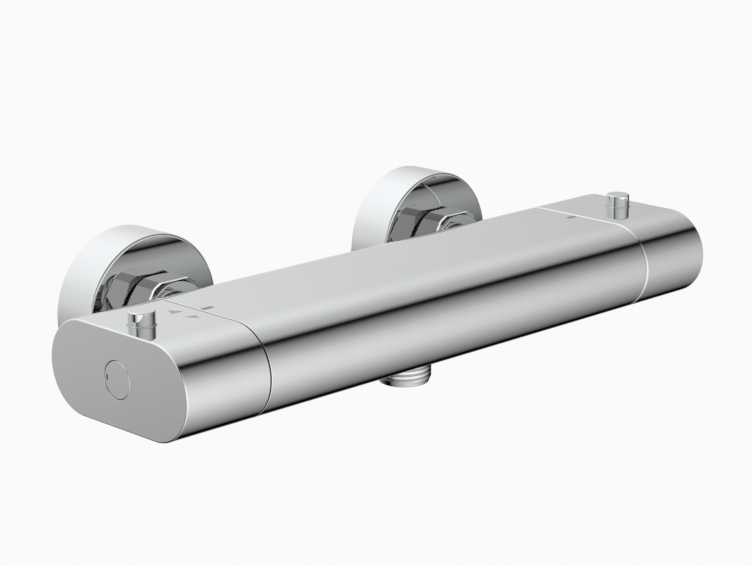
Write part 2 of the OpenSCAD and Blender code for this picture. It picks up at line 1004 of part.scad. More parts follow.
// The cap that covers the handle screw, with a slot to prise it out
module end_cap() {
    slot_r = 5.35;
    slot_t = 0.7;
    slot_l = 2;
    difference() {
        union() {
            turned_rod(cap_in, cap_out, cap_d / 2, fit, cap_break);
            rod(plug_in, cap_in + cap_t / 2, plug_r);
        }
        rod(plug_in - eps, cap_in, plug_r - plug_t);
        translate([slot_r - slot_t / 2, -slot_l / 2, cap_in - eps])
            cube([slot_t, slot_l, cap_t + 2 * eps]);
    }
}

module flow_end_cap() {
    color(chrome) flow_side() end_cap();
}

module temperature_end_cap() {
    color(chrome) temperature_side() end_cap();
}

module handle_screw() {
    difference() {
        union() {
            turned_rod(head_seat, head_seat + head_h, head_r, edge, edge);
            rod(head_seat - screw_l, head_seat + eps, screw_r);
        }
        translate([0, 0, head_seat + head_h - hex_depth])
            cylinder(h = head_h, r = hex_af / sqrt(3), $fn = 6);
    }
}

module flow_handle_screw() {
    color(steel) flow_side() handle_screw();
}

module temperature_handle_screw() {
    color(steel) temperature_side() handle_screw();
}

module button_bush() {
    button_axis()
        tube(cavity_half, half_h + bush_rise, button_d / 2 + bush_t, button_d / 2 + running);
}

module flow_button_bush() {
    color(chrome) flow_side() button_bush();
}

module temperature_button_bush() {
    color(chrome) temperature_side() button_bush();
}

// The button, its flange and the arm that reaches over the stop ring
module stop_button() {
    button_axis() {
        turned_rod(flange_top - eps, half_h + button_rise, button_d / 2, fit, edge);
        rod(flange_bottom, flange_top, flange_r);
        rod(flange_bottom - peg_l, flange_bottom + eps, peg_r);
        // This frame's Y points back to the seam
        translate([-arm_w / 2, 0, flange_bottom])
            cube([arm_w, button_z - arm_end, arm_t]);
    }
}

module flow_button() {
    color(chrome) flow_side() stop_button();
}

module temperature_button() {
    color(chrome) temperature_side() stop_button();
}

module button_spring() {
    button_axis()
        coil(
            pocket_floor + fit, flange_bottom - fit,
            button_spring_r, button_wire, button_turns
        );
}

module flow_button_spring() {
    color(steel) flow_side() button_spring();
}

module temperature_button_spring() {
    color(steel) temperature_side() button_spring();
}

// The housing has a seat for hot water at one end of the spool and for cold at the other
module thermostat_housing() {
    color(brass)
        temperature_side()
            difference() {
                cartridge_blank(thermostat_end);
                rod(thermostat_end + end_wall_t, cold_seat, spool_r - seat_land);
                rod(hot_seat, cold_seat, spool_r + running);
                rod(cold_seat - eps, collar_chamber, carriage_r + running);
                rod(shoulder - 5, nose_out + eps, spindle_d / 2 + running);
                rod(thermostat_end - eps, thermostat_end + 5, wax_d / 2 + running);
                end_ports();
                for (span = [hot_waist, cold_waist])
                    waist(span, cartridge_d / 2, waist_depth);
                windows(hot_seat + 2 * fit, hot_waist[1] - 2 * fit, 6);
                windows(cold_waist[0] + 2 * fit, cold_seat - 2 * fit, 6);
                seal_cuts(thermostat_seal_places);
                for (side = [0, 180])
                    rotate(side)
                        translate([0, -key_w / 2 - fit, cold_seat + 1])
                            cube([key_r + fit, key_w + 2 * fit, collar_chamber - cold_seat - 1]);
            }
}

// Three openings that let the mixed water out round the seat of the return spring
module end_ports() {
    translate([0, 0, thermostat_end - eps])
        linear_extrude(end_wall_t + 2 * eps)
            for (i = [0 : 2])
                rotate(i * 120)
                    intersection() {
                        difference() {
                            circle(r = spool_r - seat_land - 3 * fit);
                            circle(r = wax_d / 2 + return_wire + 5 * fit);
                        }
                        sector(-end_port_half, end_port_half, cartridge_d / 2);
                    }
}

module thermostat_seals() {
    color(rubber)
        temperature_side()
            cartridge_seals(thermostat_seal_places);
}

// Slotted screens in the two waists, which keep grit out of the spool
module thermostat_screens() {
    color(steel)
        temperature_side()
            for (span = [hot_waist, cold_waist])
                screen(span[0] + fit, span[1] - fit);
}

module screen(z0, z1) {
    slots = 12;
    r = cartridge_d / 2 - 0.2;
    difference() {
        tube(z0, z1, r, r - 0.4);
        for (i = [0 : slots - 1])
            rotate((i + 0.5) * 360 / slots)
                translate([r - 2, -0.5, z0 + 1])
                    cube([4, 1, z1 - z0 - 2]);
    }
}

// Spindle with a collar and a left-hand screw that feeds the carriage
module temperature_spindle() {
    color(brass)
        temperature_side()
            difference() {
                union() {
                    rod(cup_end - 1, collar_chamber - fit, screw_thread_r);
                    rod(collar_chamber - fit - collar_t, collar_chamber - fit, collar_r);
                    spindle_shaft(collar_chamber - fit - eps);
                }
                screw_hole();
                seal_cut(spindle_seal, spindle_d / 2, small_wire);
            }
}

// The keyed nut that carries the overload spring
module thermostat_carriage() {
    color(white_plastic)
        temperature_side() {
            difference() {
                rod(carriage_in, carriage_out, carriage_r);
                rod(carriage_in - eps, cup_end, carriage_mouth_r);
                rod(plunger_in - fit, cup_end, carriage_bore_r);
                rod(cup_end - eps, carriage_out + eps, screw_thread_r + running);
            }
            for (side = [0, 180])
                rotate(side)
                    translate([carriage_r - 0.8, -key_w / 2, carriage_in + 1])
                        cube([key_r - carriage_r + 0.8, key_w, carriage_out - carriage_in - 1]);
        }
}

module overload_plunger() {
    color(steel)
        temperature_side()
            rod(plunger_in, plunger_in + plunger_t, carriage_bore_r - 0.2);
}

module overload_spring() {
    color(steel)
        temperature_side()
            coil(
                plunger_in + plunger_t + fit, cup_end - fit,
                carriage_mouth_r, overload_wire, overload_turns
            );
}

// Bulb, flange, neck and piston of the wax element
module wax_element() {
    color(copper)
        temperature_side() {
            turned_rod(wax_in, wax_flange + eps, wax_d / 2, 0.8, fit);
            rod(wax_flange, wax_flange + wax_flange_t, wax_d / 2 + 1);
            rod(wax_flange, plunger_in - piston_bare_l, wax_neck_r);
            rod(wax_flange, plunger_in - fit, piston_r);
        }
}

module mixing_spool() {
    hub_r_in = wax_d / 2 + fit;
    hub_r_out = hub_r_in + spool_hub_wall;
    sleeve_r_in = spool_r - spool_wall;
    spoke_in = hub_r_out - 4 * fit;
    color(brass)
        temperature_side() {
            tube(spool_in, spool_out, spool_r, sleeve_r_in);
            tube(spool_hub_in, spool_hub_in + spool_hub_t, hub_r_out, hub_r_in);
            for (i = [0 : 3])
                rotate(i * 90 + 45)
                    translate([spoke_in, -key_w / 2, spool_hub_in])
                        cube([sleeve_r_in + 3 * fit - spoke_in, key_w, spool_hub_t]);
        }
}

module return_spring() {
    color(steel)
        temperature_side()
            coil(
                thermostat_end + end_wall_t + fit, spool_hub_in - fit,
                wax_d / 2 + 1, return_wire, return_turns
            );
}

module left_union_nut() { union_nut(-1); }
module right_union_nut() { union_nut(1); }
module left_rosette() { rosette(-1); }
module right_rosette() { rosette(1); }
module left_check_poppet() { check_poppet(-1); }
module right_check_poppet() { check_poppet(1); }
module left_check_spring() { check_spring(-1); }
module right_check_spring() { check_spring(1); }

body_shell();
waterway();
end_plates();
outlet_nipple();
outlet_seal();
inlet_seats();
inlet_seals();
check_valve_housings();
filter_washers();
offset_unions();
flow_cartridge();
flow_gland_nut();
flow_seals();
flow_fixed_disc();
flow_seat_seal();
flow_stop_ring();
thermostat_housing();
thermostat_gland_nut();
thermostat_seals();
thermostat_screens();
temperature_stop_ring();
flow_handle();
flow_handle_insert();
flow_end_cap();
flow_handle_screw();
flow_button_bush();
flow_spindle();
flow_moving_disc();
flow_spindle_seal();
flow_button();
flow_button_spring();
temperature_handle();
temperature_handle_insert();
temperature_end_cap();
temperature_handle_screw();
temperature_button_bush();
temperature_spindle();
temperature_spindle_seal();
temperature_button();
temperature_button_spring();
thermostat_carriage();
overload_plunger();
overload_spring();
wax_element();
mixing_spool();
return_spring();
left_union_nut();
right_union_nut();
left_rosette();
right_rosette();
left_check_poppet();
left_check_spring();
right_check_poppet();
right_check_spring();
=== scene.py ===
"""Visual model of a thermostatic shower valve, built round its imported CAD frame.

X runs along the bar to the right, Y into the wall and Z up, in metres. The origin lies on the
wall plane, midway between the two inlets.
"""

import math

import bmesh
import bpy
from bpy.props import FloatProperty, FloatVectorProperty, IntProperty, PointerProperty
from mathutils import Matrix, Vector


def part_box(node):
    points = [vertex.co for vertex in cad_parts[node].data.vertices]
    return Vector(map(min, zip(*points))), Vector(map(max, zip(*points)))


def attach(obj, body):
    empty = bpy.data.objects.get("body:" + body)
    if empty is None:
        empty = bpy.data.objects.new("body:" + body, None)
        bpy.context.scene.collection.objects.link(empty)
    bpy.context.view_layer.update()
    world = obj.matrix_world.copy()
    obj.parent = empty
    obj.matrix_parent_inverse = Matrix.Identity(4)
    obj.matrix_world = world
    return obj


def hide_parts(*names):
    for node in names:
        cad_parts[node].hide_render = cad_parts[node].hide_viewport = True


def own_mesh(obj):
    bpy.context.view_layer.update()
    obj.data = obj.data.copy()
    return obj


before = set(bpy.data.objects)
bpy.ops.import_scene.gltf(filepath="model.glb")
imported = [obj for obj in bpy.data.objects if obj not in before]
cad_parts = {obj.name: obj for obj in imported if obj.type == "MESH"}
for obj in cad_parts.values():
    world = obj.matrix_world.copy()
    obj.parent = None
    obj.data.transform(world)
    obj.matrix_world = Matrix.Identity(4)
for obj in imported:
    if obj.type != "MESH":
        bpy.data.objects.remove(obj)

bl_info = {
    "name": "Thermostatic shower valve",
    "version": (1, 0, 0),
    "blender": (4, 5, 0),
    "location": "3D View > Sidebar > Shower valve",
    "description": "Dresses the pieces of a thermostatic shower valve and lights them",
    "category": "Add Mesh",
}

MM = 0.001
UP = Vector((0, 0, 1))

# Tolerances in metres: for merging points, for taking two places as one, and for cuts
WELD = 1e-7
TOUCH = 1e-6
CUT = 1e-8

# Angle in degrees from which an edge of a finished piece is sharp
SHARP = 35

# Steps round a plain turned form, a rosette and a union nut, which has 6 sides
ROUND_STEPS = 96
ROSETTE_STEPS = 288
NUT_SIDES = 6
NUT_STEPS = 60 * NUT_SIDES

# Rounding of an edge that is only broken
BROKEN_EDGE = 0.2 * MM

# Each finish, by the name of its slot, and the CAD nodes that have it
FINISHES = {
    "polished_chrome": ("inlet_seats",),
    "cast_brass": ("waterway", "thermostat_housing", "flow_cartridge"),
    "turned_brass": (
        "flow_gland_nut", "thermostat_gland_nut", "flow_spindle",
        "temperature_spindle", "mixing_spool",
    ),
    "drawn_copper": ("wax_element",),
    "grey_plastic": (
        "end_plates", "flow_handle_insert", "temperature_handle_insert",
        "left_check_poppet", "right_check_poppet",
    ),
    "white_plastic": (
        "check_valve_housings", "flow_stop_ring", "temperature_stop_ring",
        "thermostat_carriage",
    ),
    "rubber": (
        "outlet_seal", "inlet_seals", "filter_washers", "flow_seals", "flow_seat_seal",
        "thermostat_seals", "flow_spindle_seal", "temperature_spindle_seal",
    ),
    "plain_steel": ("flow_handle_screw", "temperature_handle_screw", "overload_plunger"),
    "steel_mesh": ("thermostat_screens",),
    "ceramic": ("flow_fixed_disc", "flow_moving_disc"),
}


# Sizes and colours


def length_setting(name, description, millimetres):
    """A length that a user can change, given in millimetres."""
    return FloatProperty(
        name=name, description=description, default=millimetres * MM, unit="LENGTH",
    )


def colour_setting(name, description, default):
    """A colour that a user can change."""
    return FloatVectorProperty(
        name=name, description=description, default=default, subtype="COLOR",
    )


class ValveSizes(bpy.types.PropertyGroup):
    """Sizes of the modelled details"""

    outlet_thread: length_setting("Outlet thread", "Outside diameter of the outlet thread", 20.956)
    outlet_root: length_setting("Outlet root", "Diameter at the root of the outlet thread", 19.6)
    thread_pitch: length_setting("Thread pitch", "Rise of the pipe threads in one turn", 1.814)
    outlet_bore: length_setting("Outlet bore", "Bore of the outlet", 13)
    outlet_lead: length_setting("Outlet lead", "Length of the cone below the outlet thread", 2.6)
    outlet_lead_diameter: length_setting(
        "Outlet lead diameter", "Diameter of the cone at its lower end", 19.1,
    )
    outlet_neck: length_setting("Outlet neck", "Plain gap between the outlet thread and the body", 0.3)
    outlet_spigot: length_setting("Outlet spigot", "Diameter of the outlet inside the body", 18)
    wall_core: length_setting("Wall core", "Diameter of the wall union under its thread", 18.4)
    handle_rounding: length_setting(
        "Handle rounding", "Rounding of the broken edges of a handle", 0.15,
    )
    seam_rounding: length_setting(
        "Seam rounding", "Rounding of the edges of the body at its seams", 0.07,
    )
    seam_sharpness: FloatProperty(
        name="Seam sharpness",
        description="Share of the broken edge that is drawn out at the left end of the sleeve",
        default=0.45, min=0, max=1, subtype="FACTOR",
    )
    cap_rounding: length_setting("Cap rounding", "Rounding of the edges of the end caps", 0.05)
    bush_rounding: length_setting("Bush rounding", "Rounding of the edges of a button bush", 0.12)
    button_rounding: length_setting(
        "Button rounding", "Rounding of the edges of a stop button", 0.12,
    )
    nut_flats: length_setting("Nut flats", "Width of a union nut across its flats", 29.8)
    nut_corners: length_setting("Nut corners", "Diameter of a union nut over its cut corners", 32.4)
    nut_bore: length_setting("Nut bore", "Bore of a union nut round its tail", 20)
    nut_thread_depth: length_setting(
        "Nut thread depth", "Depth of the thread inside a union nut", 8.1,
    )
    nut_cone_width: length_setting(
        "Nut cone width", "Width of the cone turned on the wall end of a nut", 1.5,
    )
    nut_cone_length: length_setting(
        "Nut cone length", "Length of the cone turned on the wall end of a nut", 1.1,
    )
    nut_dish: length_setting("Nut dish", "Depth of the dished face behind the disc of a nut", 0.6)
    nut_groove: length_setting("Nut groove", "Depth of the groove between hexagon and disc", 1.6)
    nut_bevel_length: length_setting(
        "Nut bevel length", "Length of the bevel at the front of the hexagon", 0.8,
    )
    nut_bevel_depth: length_setting(
        "Nut bevel depth", "Depth of the bevel at the front of the hexagon", 0.24,
    )
    nut_disc: length_setting("Nut disc", "Diameter of the round disc in front of a union nut", 29)
    nut_disc_reach: length_setting(
        "Nut disc reach", "Reach of the disc in front of the hexagon", 1.5,
    )
    nut_disc_thickness: length_setting(
        "Nut disc thickness", "Thickness of the disc in front of a union nut", 0.6,
    )
    rosette_width: length_setting("Rosette width", "Outside diameter of a finished rosette", 59.8)
    rosette_depth: length_setting(
        "Rosette depth", "Depth of a finished rosette in front of the wall", 19.4,
    )
    rosette_rounding: length_setting(
        "Rosette rounding", "Radius of the front edge of a rosette", 1.1,
    )
    rosette_wall: length_setting("Rosette wall", "Wall of a rosette", 1.2)
    rosette_bore: length_setting("Rosette bore", "Bore of a rosette round the union thread", 26.6)
    rosette_neck_wall: length_setting(
        "Rosette neck wall", "Wall of the threaded neck inside a rosette", 1.72,
    )
    rosette_neck_start: length_setting(
        "Rosette neck start", "Distance from the wall to the neck of a rosette", 10,
    )
    wire_sides: IntProperty(
        name="Wire sides", description="Sides of the round spring wire", default=14, min=6,
    )
    mark_width: length_setting("Mark width", "Width of the index marks on the body", 2.2)
    mark_height: length_setting("Mark height", "Height of the printed marks above the chrome", 0.03)


class ValveColours(bpy.types.PropertyGroup):
    """Base colours of the finishes"""

    chrome: colour_setting("Chrome", "Colour of the polished chrome", (0.492, 0.498, 0.496))
    brass: colour_setting("Brass", "Colour of the cast and turned brass", (0.78, 0.63, 0.30))
    copper: colour_setting("Copper", "Colour of the wax element", (0.72, 0.43, 0.26))
    grey_plastic: colour_setting("Grey plastic", "Colour of the grey mouldings", (0.45, 0.46, 0.48))
    white_plastic: colour_setting(
        "White plastic", "Colour of the white mouldings", (0.88, 0.88, 0.86),
    )
    rubber: colour_setting("Rubber", "Colour of the seals", (0.10, 0.10, 0.11))
    steel: colour_setting("Steel", "Colour of the springs and screws", (0.62, 0.63, 0.65))
    ceramic: colour_setting("Ceramic", "Colour of the ceramic discs", (0.93, 0.92, 0.88))
    print_grey: colour_setting("Print", "Colour of the printed marks", (0.30, 0.30, 0.31))
    arrow_grey: colour_setting("Arrows", "Colour of the printed arrows", (0.40, 0.40, 0.42))


class ValveStage(bpy.types.PropertyGroup):
    """Camera, floor and light tent"""

    camera_azimuth: FloatProperty(
        name="Camera azimuth", description="Angle of the camera round the valve",
        default=math.radians(-44.85), subtype="ANGLE",
    )
    camera_elevation: FloatProperty(
        name="Camera elevation", description="Angle of the camera above the valve",
        default=math.radians(14.95), subtype="ANGLE",
    )
    camera_place: FloatVectorProperty(
        name="Camera place", description="Place of the camera",
        default=(-577.02 * MM, -639.73 * MM, 223.70 * MM), subtype="TRANSLATION",
    )
    camera_lens: FloatProperty(
        name="Camera lens", description="Focal length in millimetres", default=107.09,
    )
    floor_drop: FloatProperty(
        name="Floor drop", description="Depth of the floor below the axis of the bar",
        default=0.25, unit="LENGTH",
    )
    backdrop: colour_setting(
        "Backdrop", "Colour of the floor and the backdrop", (0.956, 0.956, 0.956),
    )
    floor_radius: FloatProperty(
        name="Floor radius", description="Radius of the round floor", default=7.2, unit="LENGTH",
    )
    floor_glow: FloatProperty(
        name="Floor glow", description="Share of the floor that the camera sees evenly lit",
        default=0.85, min=0, max=1, subtype="FACTOR",
    )
    tent_radius: FloatProperty(
        name="Tent radius", description="Radius of the light tent", default=8.0, unit="LENGTH",
    )
    tent_level: FloatProperty(
        name="Tent level", description="Brightness of the white panels of the tent",
        default=2.0,
    )


# Mesh tools


def settle_order(bm):
    """Sorts a mesh by its places, because a spin leaves its parts in an order of chance."""
    keys = (
        (bm.verts, lambda vert: vert.co[:]),
        (bm.edges, lambda edge: sorted(vert.index for vert in edge.verts)),
        (bm.faces, lambda face: sorted(vert.index for vert in face.verts)),
    )
    for parts, key in keys:
        for index, part in enumerate(sorted(parts, key=key)):
            part.index = index
        parts.sort()

    # A pass through a mesh puts the faces round each edge in the same order
    order = bpy.data.meshes.new("order")
    bm.to_mesh(order)
    bm.clear()
    bm.from_mesh(order)
    bpy.data.meshes.remove(order)


def add_piece(name, bm, body, slot, material, *nodes, sharp=SHARP):
    """Makes an object of a bmesh, gives it its finish and lets it ride on a body."""
    bmesh.ops.remove_doubles(bm, verts=bm.verts, dist=WELD)
    bmesh.ops.recalc_face_normals(bm, faces=bm.faces)
    settle_order(bm)
    mesh = bpy.data.meshes.new(name)
    bm.to_mesh(mesh)
    bm.free()
    mesh.polygons.foreach_set("use_smooth", [True] * len(mesh.polygons))
    mesh.set_sharp_from_angle(angle=math.radians(sharp))
    piece = bpy.data.objects.new(name, mesh)
    bpy.context.scene.collection.objects.link(piece)
    mesh.materials.append(material)
    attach(piece, body)
    if nodes:
        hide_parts(*nodes)
    return piece


def even_faces(piece):
    """Keeps the flat and the round faces true beside a rounded edge."""
    weighted = piece.modifiers.new("even_faces", "WEIGHTED_NORMAL")
    weighted.mode = "FACE_AREA"
    weighted.weight = 100
    weighted.keep_sharp = True


def node_middle(node):
    """Middle of a CAD node's box."""
    low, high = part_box(node)
    return (low + high) / 2


def node_copy(node):
    """A bmesh of a CAD node's solid with its doubles merged."""
    bm = bmesh.new()
    bm.from_mesh(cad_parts[node].data)
    bmesh.ops.remove_doubles(bm, verts=bm.verts, dist=WELD)
    return bm


def face_room(bm, x, y, z):
    """Turns what was made along Z towards the room and moves its foot to a place."""
    place = Matrix.Translation((x, y, z)) @ Matrix.Rotation(math.radians(90), 4, "X")
    bmesh.ops.transform(bm, matrix=place, verts=bm.verts)


def circle_edges(made):
    """The edges of a new circle, each once."""
    return list(dict.fromkeys(edge for vert in made["verts"] for edge in vert.link_edges))


def cut_level(bm, height, side=0):
    """Cuts a bmesh at a height and clears what lies above (1), below (-1) or nothing (0)."""
    bmesh.ops.bisect_plane(
        bm, geom=bm.verts[:] + bm.edges[:] + bm.faces[:], plane_co=(0, 0, height),
        plane_no=(0, 0, side or 1), clear_outer=side != 0, clear_inner=False, dist=CUT,
    )


def merge_flat(bm, angle):
    """Merges neighbouring faces that differ by less than an angle in degrees."""
    bmesh.ops.dissolve_limit(
        bm, angle_limit=math.radians(angle), use_dissolve_boundaries=False,
        verts=bm.verts, edges=bm.edges,
    )


def turned(bm, profile, steps=ROUND_STEPS):
    """Spins a closed profile of (radius, height) points round Z."""
    start = [bm.verts.new((r, 0, z)) for r, z in profile]
    ring = [bm.edges.new((a, b)) for a, b in zip(start, start[1:] + start[:1])]
    bmesh.ops.spin(
        bm, geom=start + ring, cent=(0, 0, 0), axis=UP, dvec=(0, 0, 0),
        angle=math.tau, steps=steps, use_merge=True, use_normal_flip=False,
        use_duplicate=False,
    )
    settle_order(bm)


def thread_profile(low, high, pitch, root, crest):
    """Points of a rounded thread form between two heights."""
    shares = (0, 0.05, 0.10, 0.17, 0.25, 0.5, 0.75, 0.83, 0.90, 0.95)
    levels = (0, 0.12, 0.42, 0.80, 0.96, 1, 0.96, 0.80, 0.42, 0.12)
    turns = math.ceil((high - low) / pitch) + 2
    points = []
    for turn in range(-1, turns):
        for share, level in zip(shares, levels):
            points.append((root + (crest - root) * level, low + (turn + share) * pitch))
    return points


def threaded_tube(low, high, pitch, crest, root, bore, lead, lead_length, steps=ROUND_STEPS):
    """A tube along Z with a helical outside thread that runs out on a cone at its low end."""
    bm = bmesh.new()
    profile = thread_profile(low, high, pitch, root, crest)
    start = [bm.verts.new((r, 0, z)) for r, z in profile]
    line = [bm.edges.new(pair) for pair in zip(start, start[1:])]
    bmesh.ops.spin(
        bm, geom=start + line, cent=(0, 0, 0), axis=UP, dvec=(0, 0, pitch / steps),
        angle=math.tau, steps=steps, use_merge=False, use_normal_flip=False,
        use_duplicate=False,
    )
    bmesh.ops.remove_doubles(bm, verts=bm.verts, dist=TOUCH)
    settle_order(bm)
    cut_level(bm, low, -1)
    cut_level(bm, high, 1)

    # The lead: a rounded edge, then a cone up to the crest, plain over its lower half
    broken = 0.3 * MM
    arc_steps = 3
    rings = []
    for step in range(arc_steps + 1):
        lift = math.sin(math.radians(90) * step / arc_steps)
        rings.append((step * broken / arc_steps, lead - broken * (1 - lift)))
    rings.append((lead_length, crest))
    plain = lead_length / 2
    for height in (plain, *(height for height, radius in rings[1:])):
        cut_level(bm, low + height)
    for vert in bm.verts:
        above = vert.co.z - low
        radius = vert.co.xy.length
        room = radius
        for (start_at, first), (end_at, second) in zip(rings, rings[1:]):
            if start_at - CUT <= above <= end_at + CUT:
                share = (above - start_at) / (end_at - start_at)
                room = first + (second - first) * share
        if above <= plain + CUT or radius > room:
            vert.co.xy *= room / radius

    # The bore and the two end faces: a circle is joined to its end from beyond it and then moved
    # back, because two rings in one plane can be joined crosswise
    ends = [edge for edge in bm.edges if len(edge.link_faces) == 1]
    inner = []
    for height, beyond in ((low, low - crest), (high, high + crest)):
        made = bmesh.ops.create_circle(
            bm, segments=steps, radius=bore, matrix=Matrix.Translation((0, 0, beyond)),
        )
        ring = circle_edges(made)
        outer = [edge for edge in ends if abs(edge.verts[0].co.z - height) < TOUCH]
        bmesh.ops.bridge_loops(bm, edges=outer + ring)
        bmesh.ops.translate(bm, verts=made["verts"], vec=(0, 0, height - beyond))
        inner += ring
    bmesh.ops.bridge_loops(bm, edges=inner)
    return bm


def coil_spring(mean_radius, wire, length, turns, sides):
    """A round wire wound along Z, from 0 to its length."""
    bm = bmesh.new()
    rise = length - wire
    lean = math.atan2(rise / turns, math.tau * mean_radius)
    place = (
        Matrix.Translation((mean_radius, 0, wire / 2))
        @ Matrix.Rotation(lean, 4, "X")
        @ Matrix.Rotation(math.radians(90), 4, "X")
    )
    made = bmesh.ops.create_circle(bm, segments=sides, radius=wire / 2, matrix=place)
    steps_in_turn = 36
    steps = round(steps_in_turn * turns)
    bmesh.ops.spin(
        bm, geom=made["verts"] + circle_edges(made), cent=(0, 0, 0), axis=UP,
        dvec=(0, 0, rise / steps), angle=math.tau * turns, steps=steps,
        use_merge=False, use_normal_flip=False, use_duplicate=False,
    )
    ends = [edge for edge in bm.edges if len(edge.link_faces) == 1]
    bmesh.ops.holes_fill(bm, edges=ends, sides=0)
    return bm


def rounded_profile(corners, points=6):
    """A closed profile whose corners, each (radius, height, rounding), are rounded."""
    profile = []
    for index, (radius, height, rounding) in enumerate(corners):
        corner = Vector((radius, height))
        if not rounding:
            profile.append(tuple(corner))
            continue
        back = (Vector(corners[index - 1][:2]) - corner).normalized()
        onward = (Vector(corners[(index + 1) % len(corners)][:2]) - corner).normalized()
        half = back.angle(onward) / 2
        middle = corner + (back + onward).normalized() * rounding / math.sin(half)
        first = back * rounding / math.tan(half) + corner - middle
        last = onward * rounding / math.tan(half) + corner - middle
        for step in range(points):
            arm = first.lerp(last, step / (points - 1)).normalized() * rounding
            profile.append(tuple(middle + arm))
    return profile


def sharpen_end(bm, x, share):
    """Draws the broken edge of the sleeve at one end out towards a plain corner."""
    widest_break = 0.5 * MM
    low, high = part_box("body_shell")
    middle = node_middle("body_shell")
    round_part = (high.z - low.z) / 2
    reach = (high.y - low.y) / 2 - round_part
    for vert in bm.verts:
        if abs(vert.co.x - x) > TOUCH:
            continue
        along = max(-reach, min(reach, vert.co.y - middle.y))
        arm = vert.co - Vector((x, middle.y + along, middle.z))
        gap = round_part - arm.length
        if TOUCH < gap < widest_break:
            vert.co += arm.normalized() * gap * share


def rounded_copy(node, width, segments=3):
    """A bmesh of a CAD node's solid with its edges rounded by a width."""
    least_bend = 20
    most_bend = 100
    bm = node_copy(node)
    if node == "body_shell":
        sharpness = bpy.context.scene.valve_sizes.seam_sharpness
        sharpen_end(bm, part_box(node)[0].x, sharpness)
    merge_flat(bm, 0.4)
    edges = []
    for edge in bm.edges:
        bend = math.degrees(edge.calc_face_angle(0))
        if least_bend < bend < most_bend:
            edges.append(edge)
    bmesh.ops.bevel(
        bm, geom=edges, offset=width, offset_type="OFFSET", segments=segments, profile=0.5,
        affect="EDGES", clamp_overlap=True, material=-1,
    )
    return bm


def flat_mark(points, height, thickness):
    """A thin printed plate over a plane at a height."""
    bm = bmesh.new()
    face = bm.faces.new([bm.verts.new((x, y, height)) for x, y in points])
    raised = bmesh.ops.extrude_face_region(bm, geom=[face])["geom"]
    top = [part for part in raised if isinstance(part, bmesh.types.BMVert)]
    bmesh.ops.translate(bm, verts=top, vec=(0, 0, thickness))
    return bm


# Node groups


def new_group(name, inputs, outputs):
    """An empty shader node group with named sockets."""
    group = bpy.data.node_groups.new(name, "ShaderNodeTree")
    for label, kind, default in inputs:
        socket = group.interface.new_socket(label, in_out="INPUT", socket_type=kind)
        socket.default_value = default
    for label, kind in outputs:
        group.interface.new_socket(label, in_out="OUTPUT", socket_type=kind)
    entry = group.nodes.new("NodeGroupInput")
    leave = group.nodes.new("NodeGroupOutput")
    return group, entry, leave


def fine_grain_group():
    """Grain of a surface: a height, and a roughness that varies with it."""
    group, entry, leave = new_group(
        "fine_grain",
        (
            ("Scale", "NodeSocketFloat", 900.0),
            ("Roughness", "NodeSocketFloat", 0.3),
            ("Spread", "NodeSocketFloat", 0.05),
        ),
        (("Height", "NodeSocketFloat"), ("Roughness", "NodeSocketFloat")),
    )
    nodes, links = group.nodes, group.links
    place = nodes.new("ShaderNodeTexCoord")
    noise = nodes.new("ShaderNodeTexNoise")
    noise.inputs["Detail"].default_value = 4
    centre = nodes.new("ShaderNodeMath")
    centre.operation = "SUBTRACT"
    centre.inputs[1].default_value = 0.5
    spread = nodes.new("ShaderNodeMath")
    spread.operation = "MULTIPLY_ADD"
    links.new(place.outputs["Object"], noise.inputs["Vector"])
    links.new(entry.outputs["Scale"], noise.inputs["Scale"])
    links.new(noise.outputs["Fac"], centre.inputs[0])
    links.new(centre.outputs[0], spread.inputs[0])
    links.new(entry.outputs["Spread"], spread.inputs[1])
    links.new(entry.outputs["Roughness"], spread.inputs[2])
    links.new(noise.outputs["Fac"], leave.inputs["Height"])
    links.new(spread.outputs[0], leave.inputs["Roughness"])
    return group


def tone_group():
    """Slow change of tone over a surface."""
    group, entry, leave = new_group(
        "tone_change",
        (
            ("Colour", "NodeSocketColor", (0.5, 0.5, 0.5, 1)),
            ("Scale", "NodeSocketFloat", 60.0),
            ("Darkest", "NodeSocketFloat", 0.94),
        ),
        (("Colour", "NodeSocketColor"),),
    )
    nodes, links = group.nodes, group.links
    place = nodes.new("ShaderNodeTexCoord")
    noise = nodes.new("ShaderNodeTexNoise")
    noise.inputs["Detail"].default_value = 3
    level = nodes.new("ShaderNodeMapRange")
    level.inputs["From Min"].default_value = 0.3
    level.inputs["From Max"].default_value = 0.7
    level.inputs["To Max"].default_value = 1.0
    mix = nodes.new("ShaderNodeMix")
    mix.data_type = "RGBA"
    mix.blend_type = "MULTIPLY"
    mix.inputs["Factor"].default_value = 1.0
    links.new(place.outputs["Object"], noise.inputs["Vector"])
    links.new(entry.outputs["Scale"], noise.inputs["Scale"])
    links.new(entry.outputs["Darkest"], level.inputs["To Min"])
    links.new(noise.outputs["Fac"], level.inputs["Value"])
    links.new(entry.outputs["Colour"], mix.inputs["A"])
    links.new(level.outputs["Result"], mix.inputs["B"])
    links.new(mix.outputs["Result"], leave.inputs["Colour"])
    return group


def tool_marks_group():
    """Fine rings left by turning round the bar's axis."""
    group, entry, leave = new_group(
        "tool_marks",
        (("Spacing", "NodeSocketFloat", 0.00025),),
        (("Height", "NodeSocketFloat"),),
    )
    nodes, links = group.nodes, group.links
    place = nodes.new("ShaderNodeTexCoord")
    split = nodes.new("ShaderNodeSeparateXYZ")
    share = nodes.new("ShaderNodeMath")
    share.operation = "DIVIDE"
    wave = nodes.new("ShaderNodeMath")
    wave.operation = "PINGPONG"
    wave.inputs[1].default_value = 1.0
    links.new(place.outputs["Object"], split.inputs["Vector"])
    links.new(split.outputs["X"], share.inputs[0])
    links.new(entry.outputs["Spacing"], share.inputs[1])
    links.new(share.outputs[0], wave.inputs[0])
    links.new(wave.outputs[0], leave.inputs["Height"])
    return group


# Materials

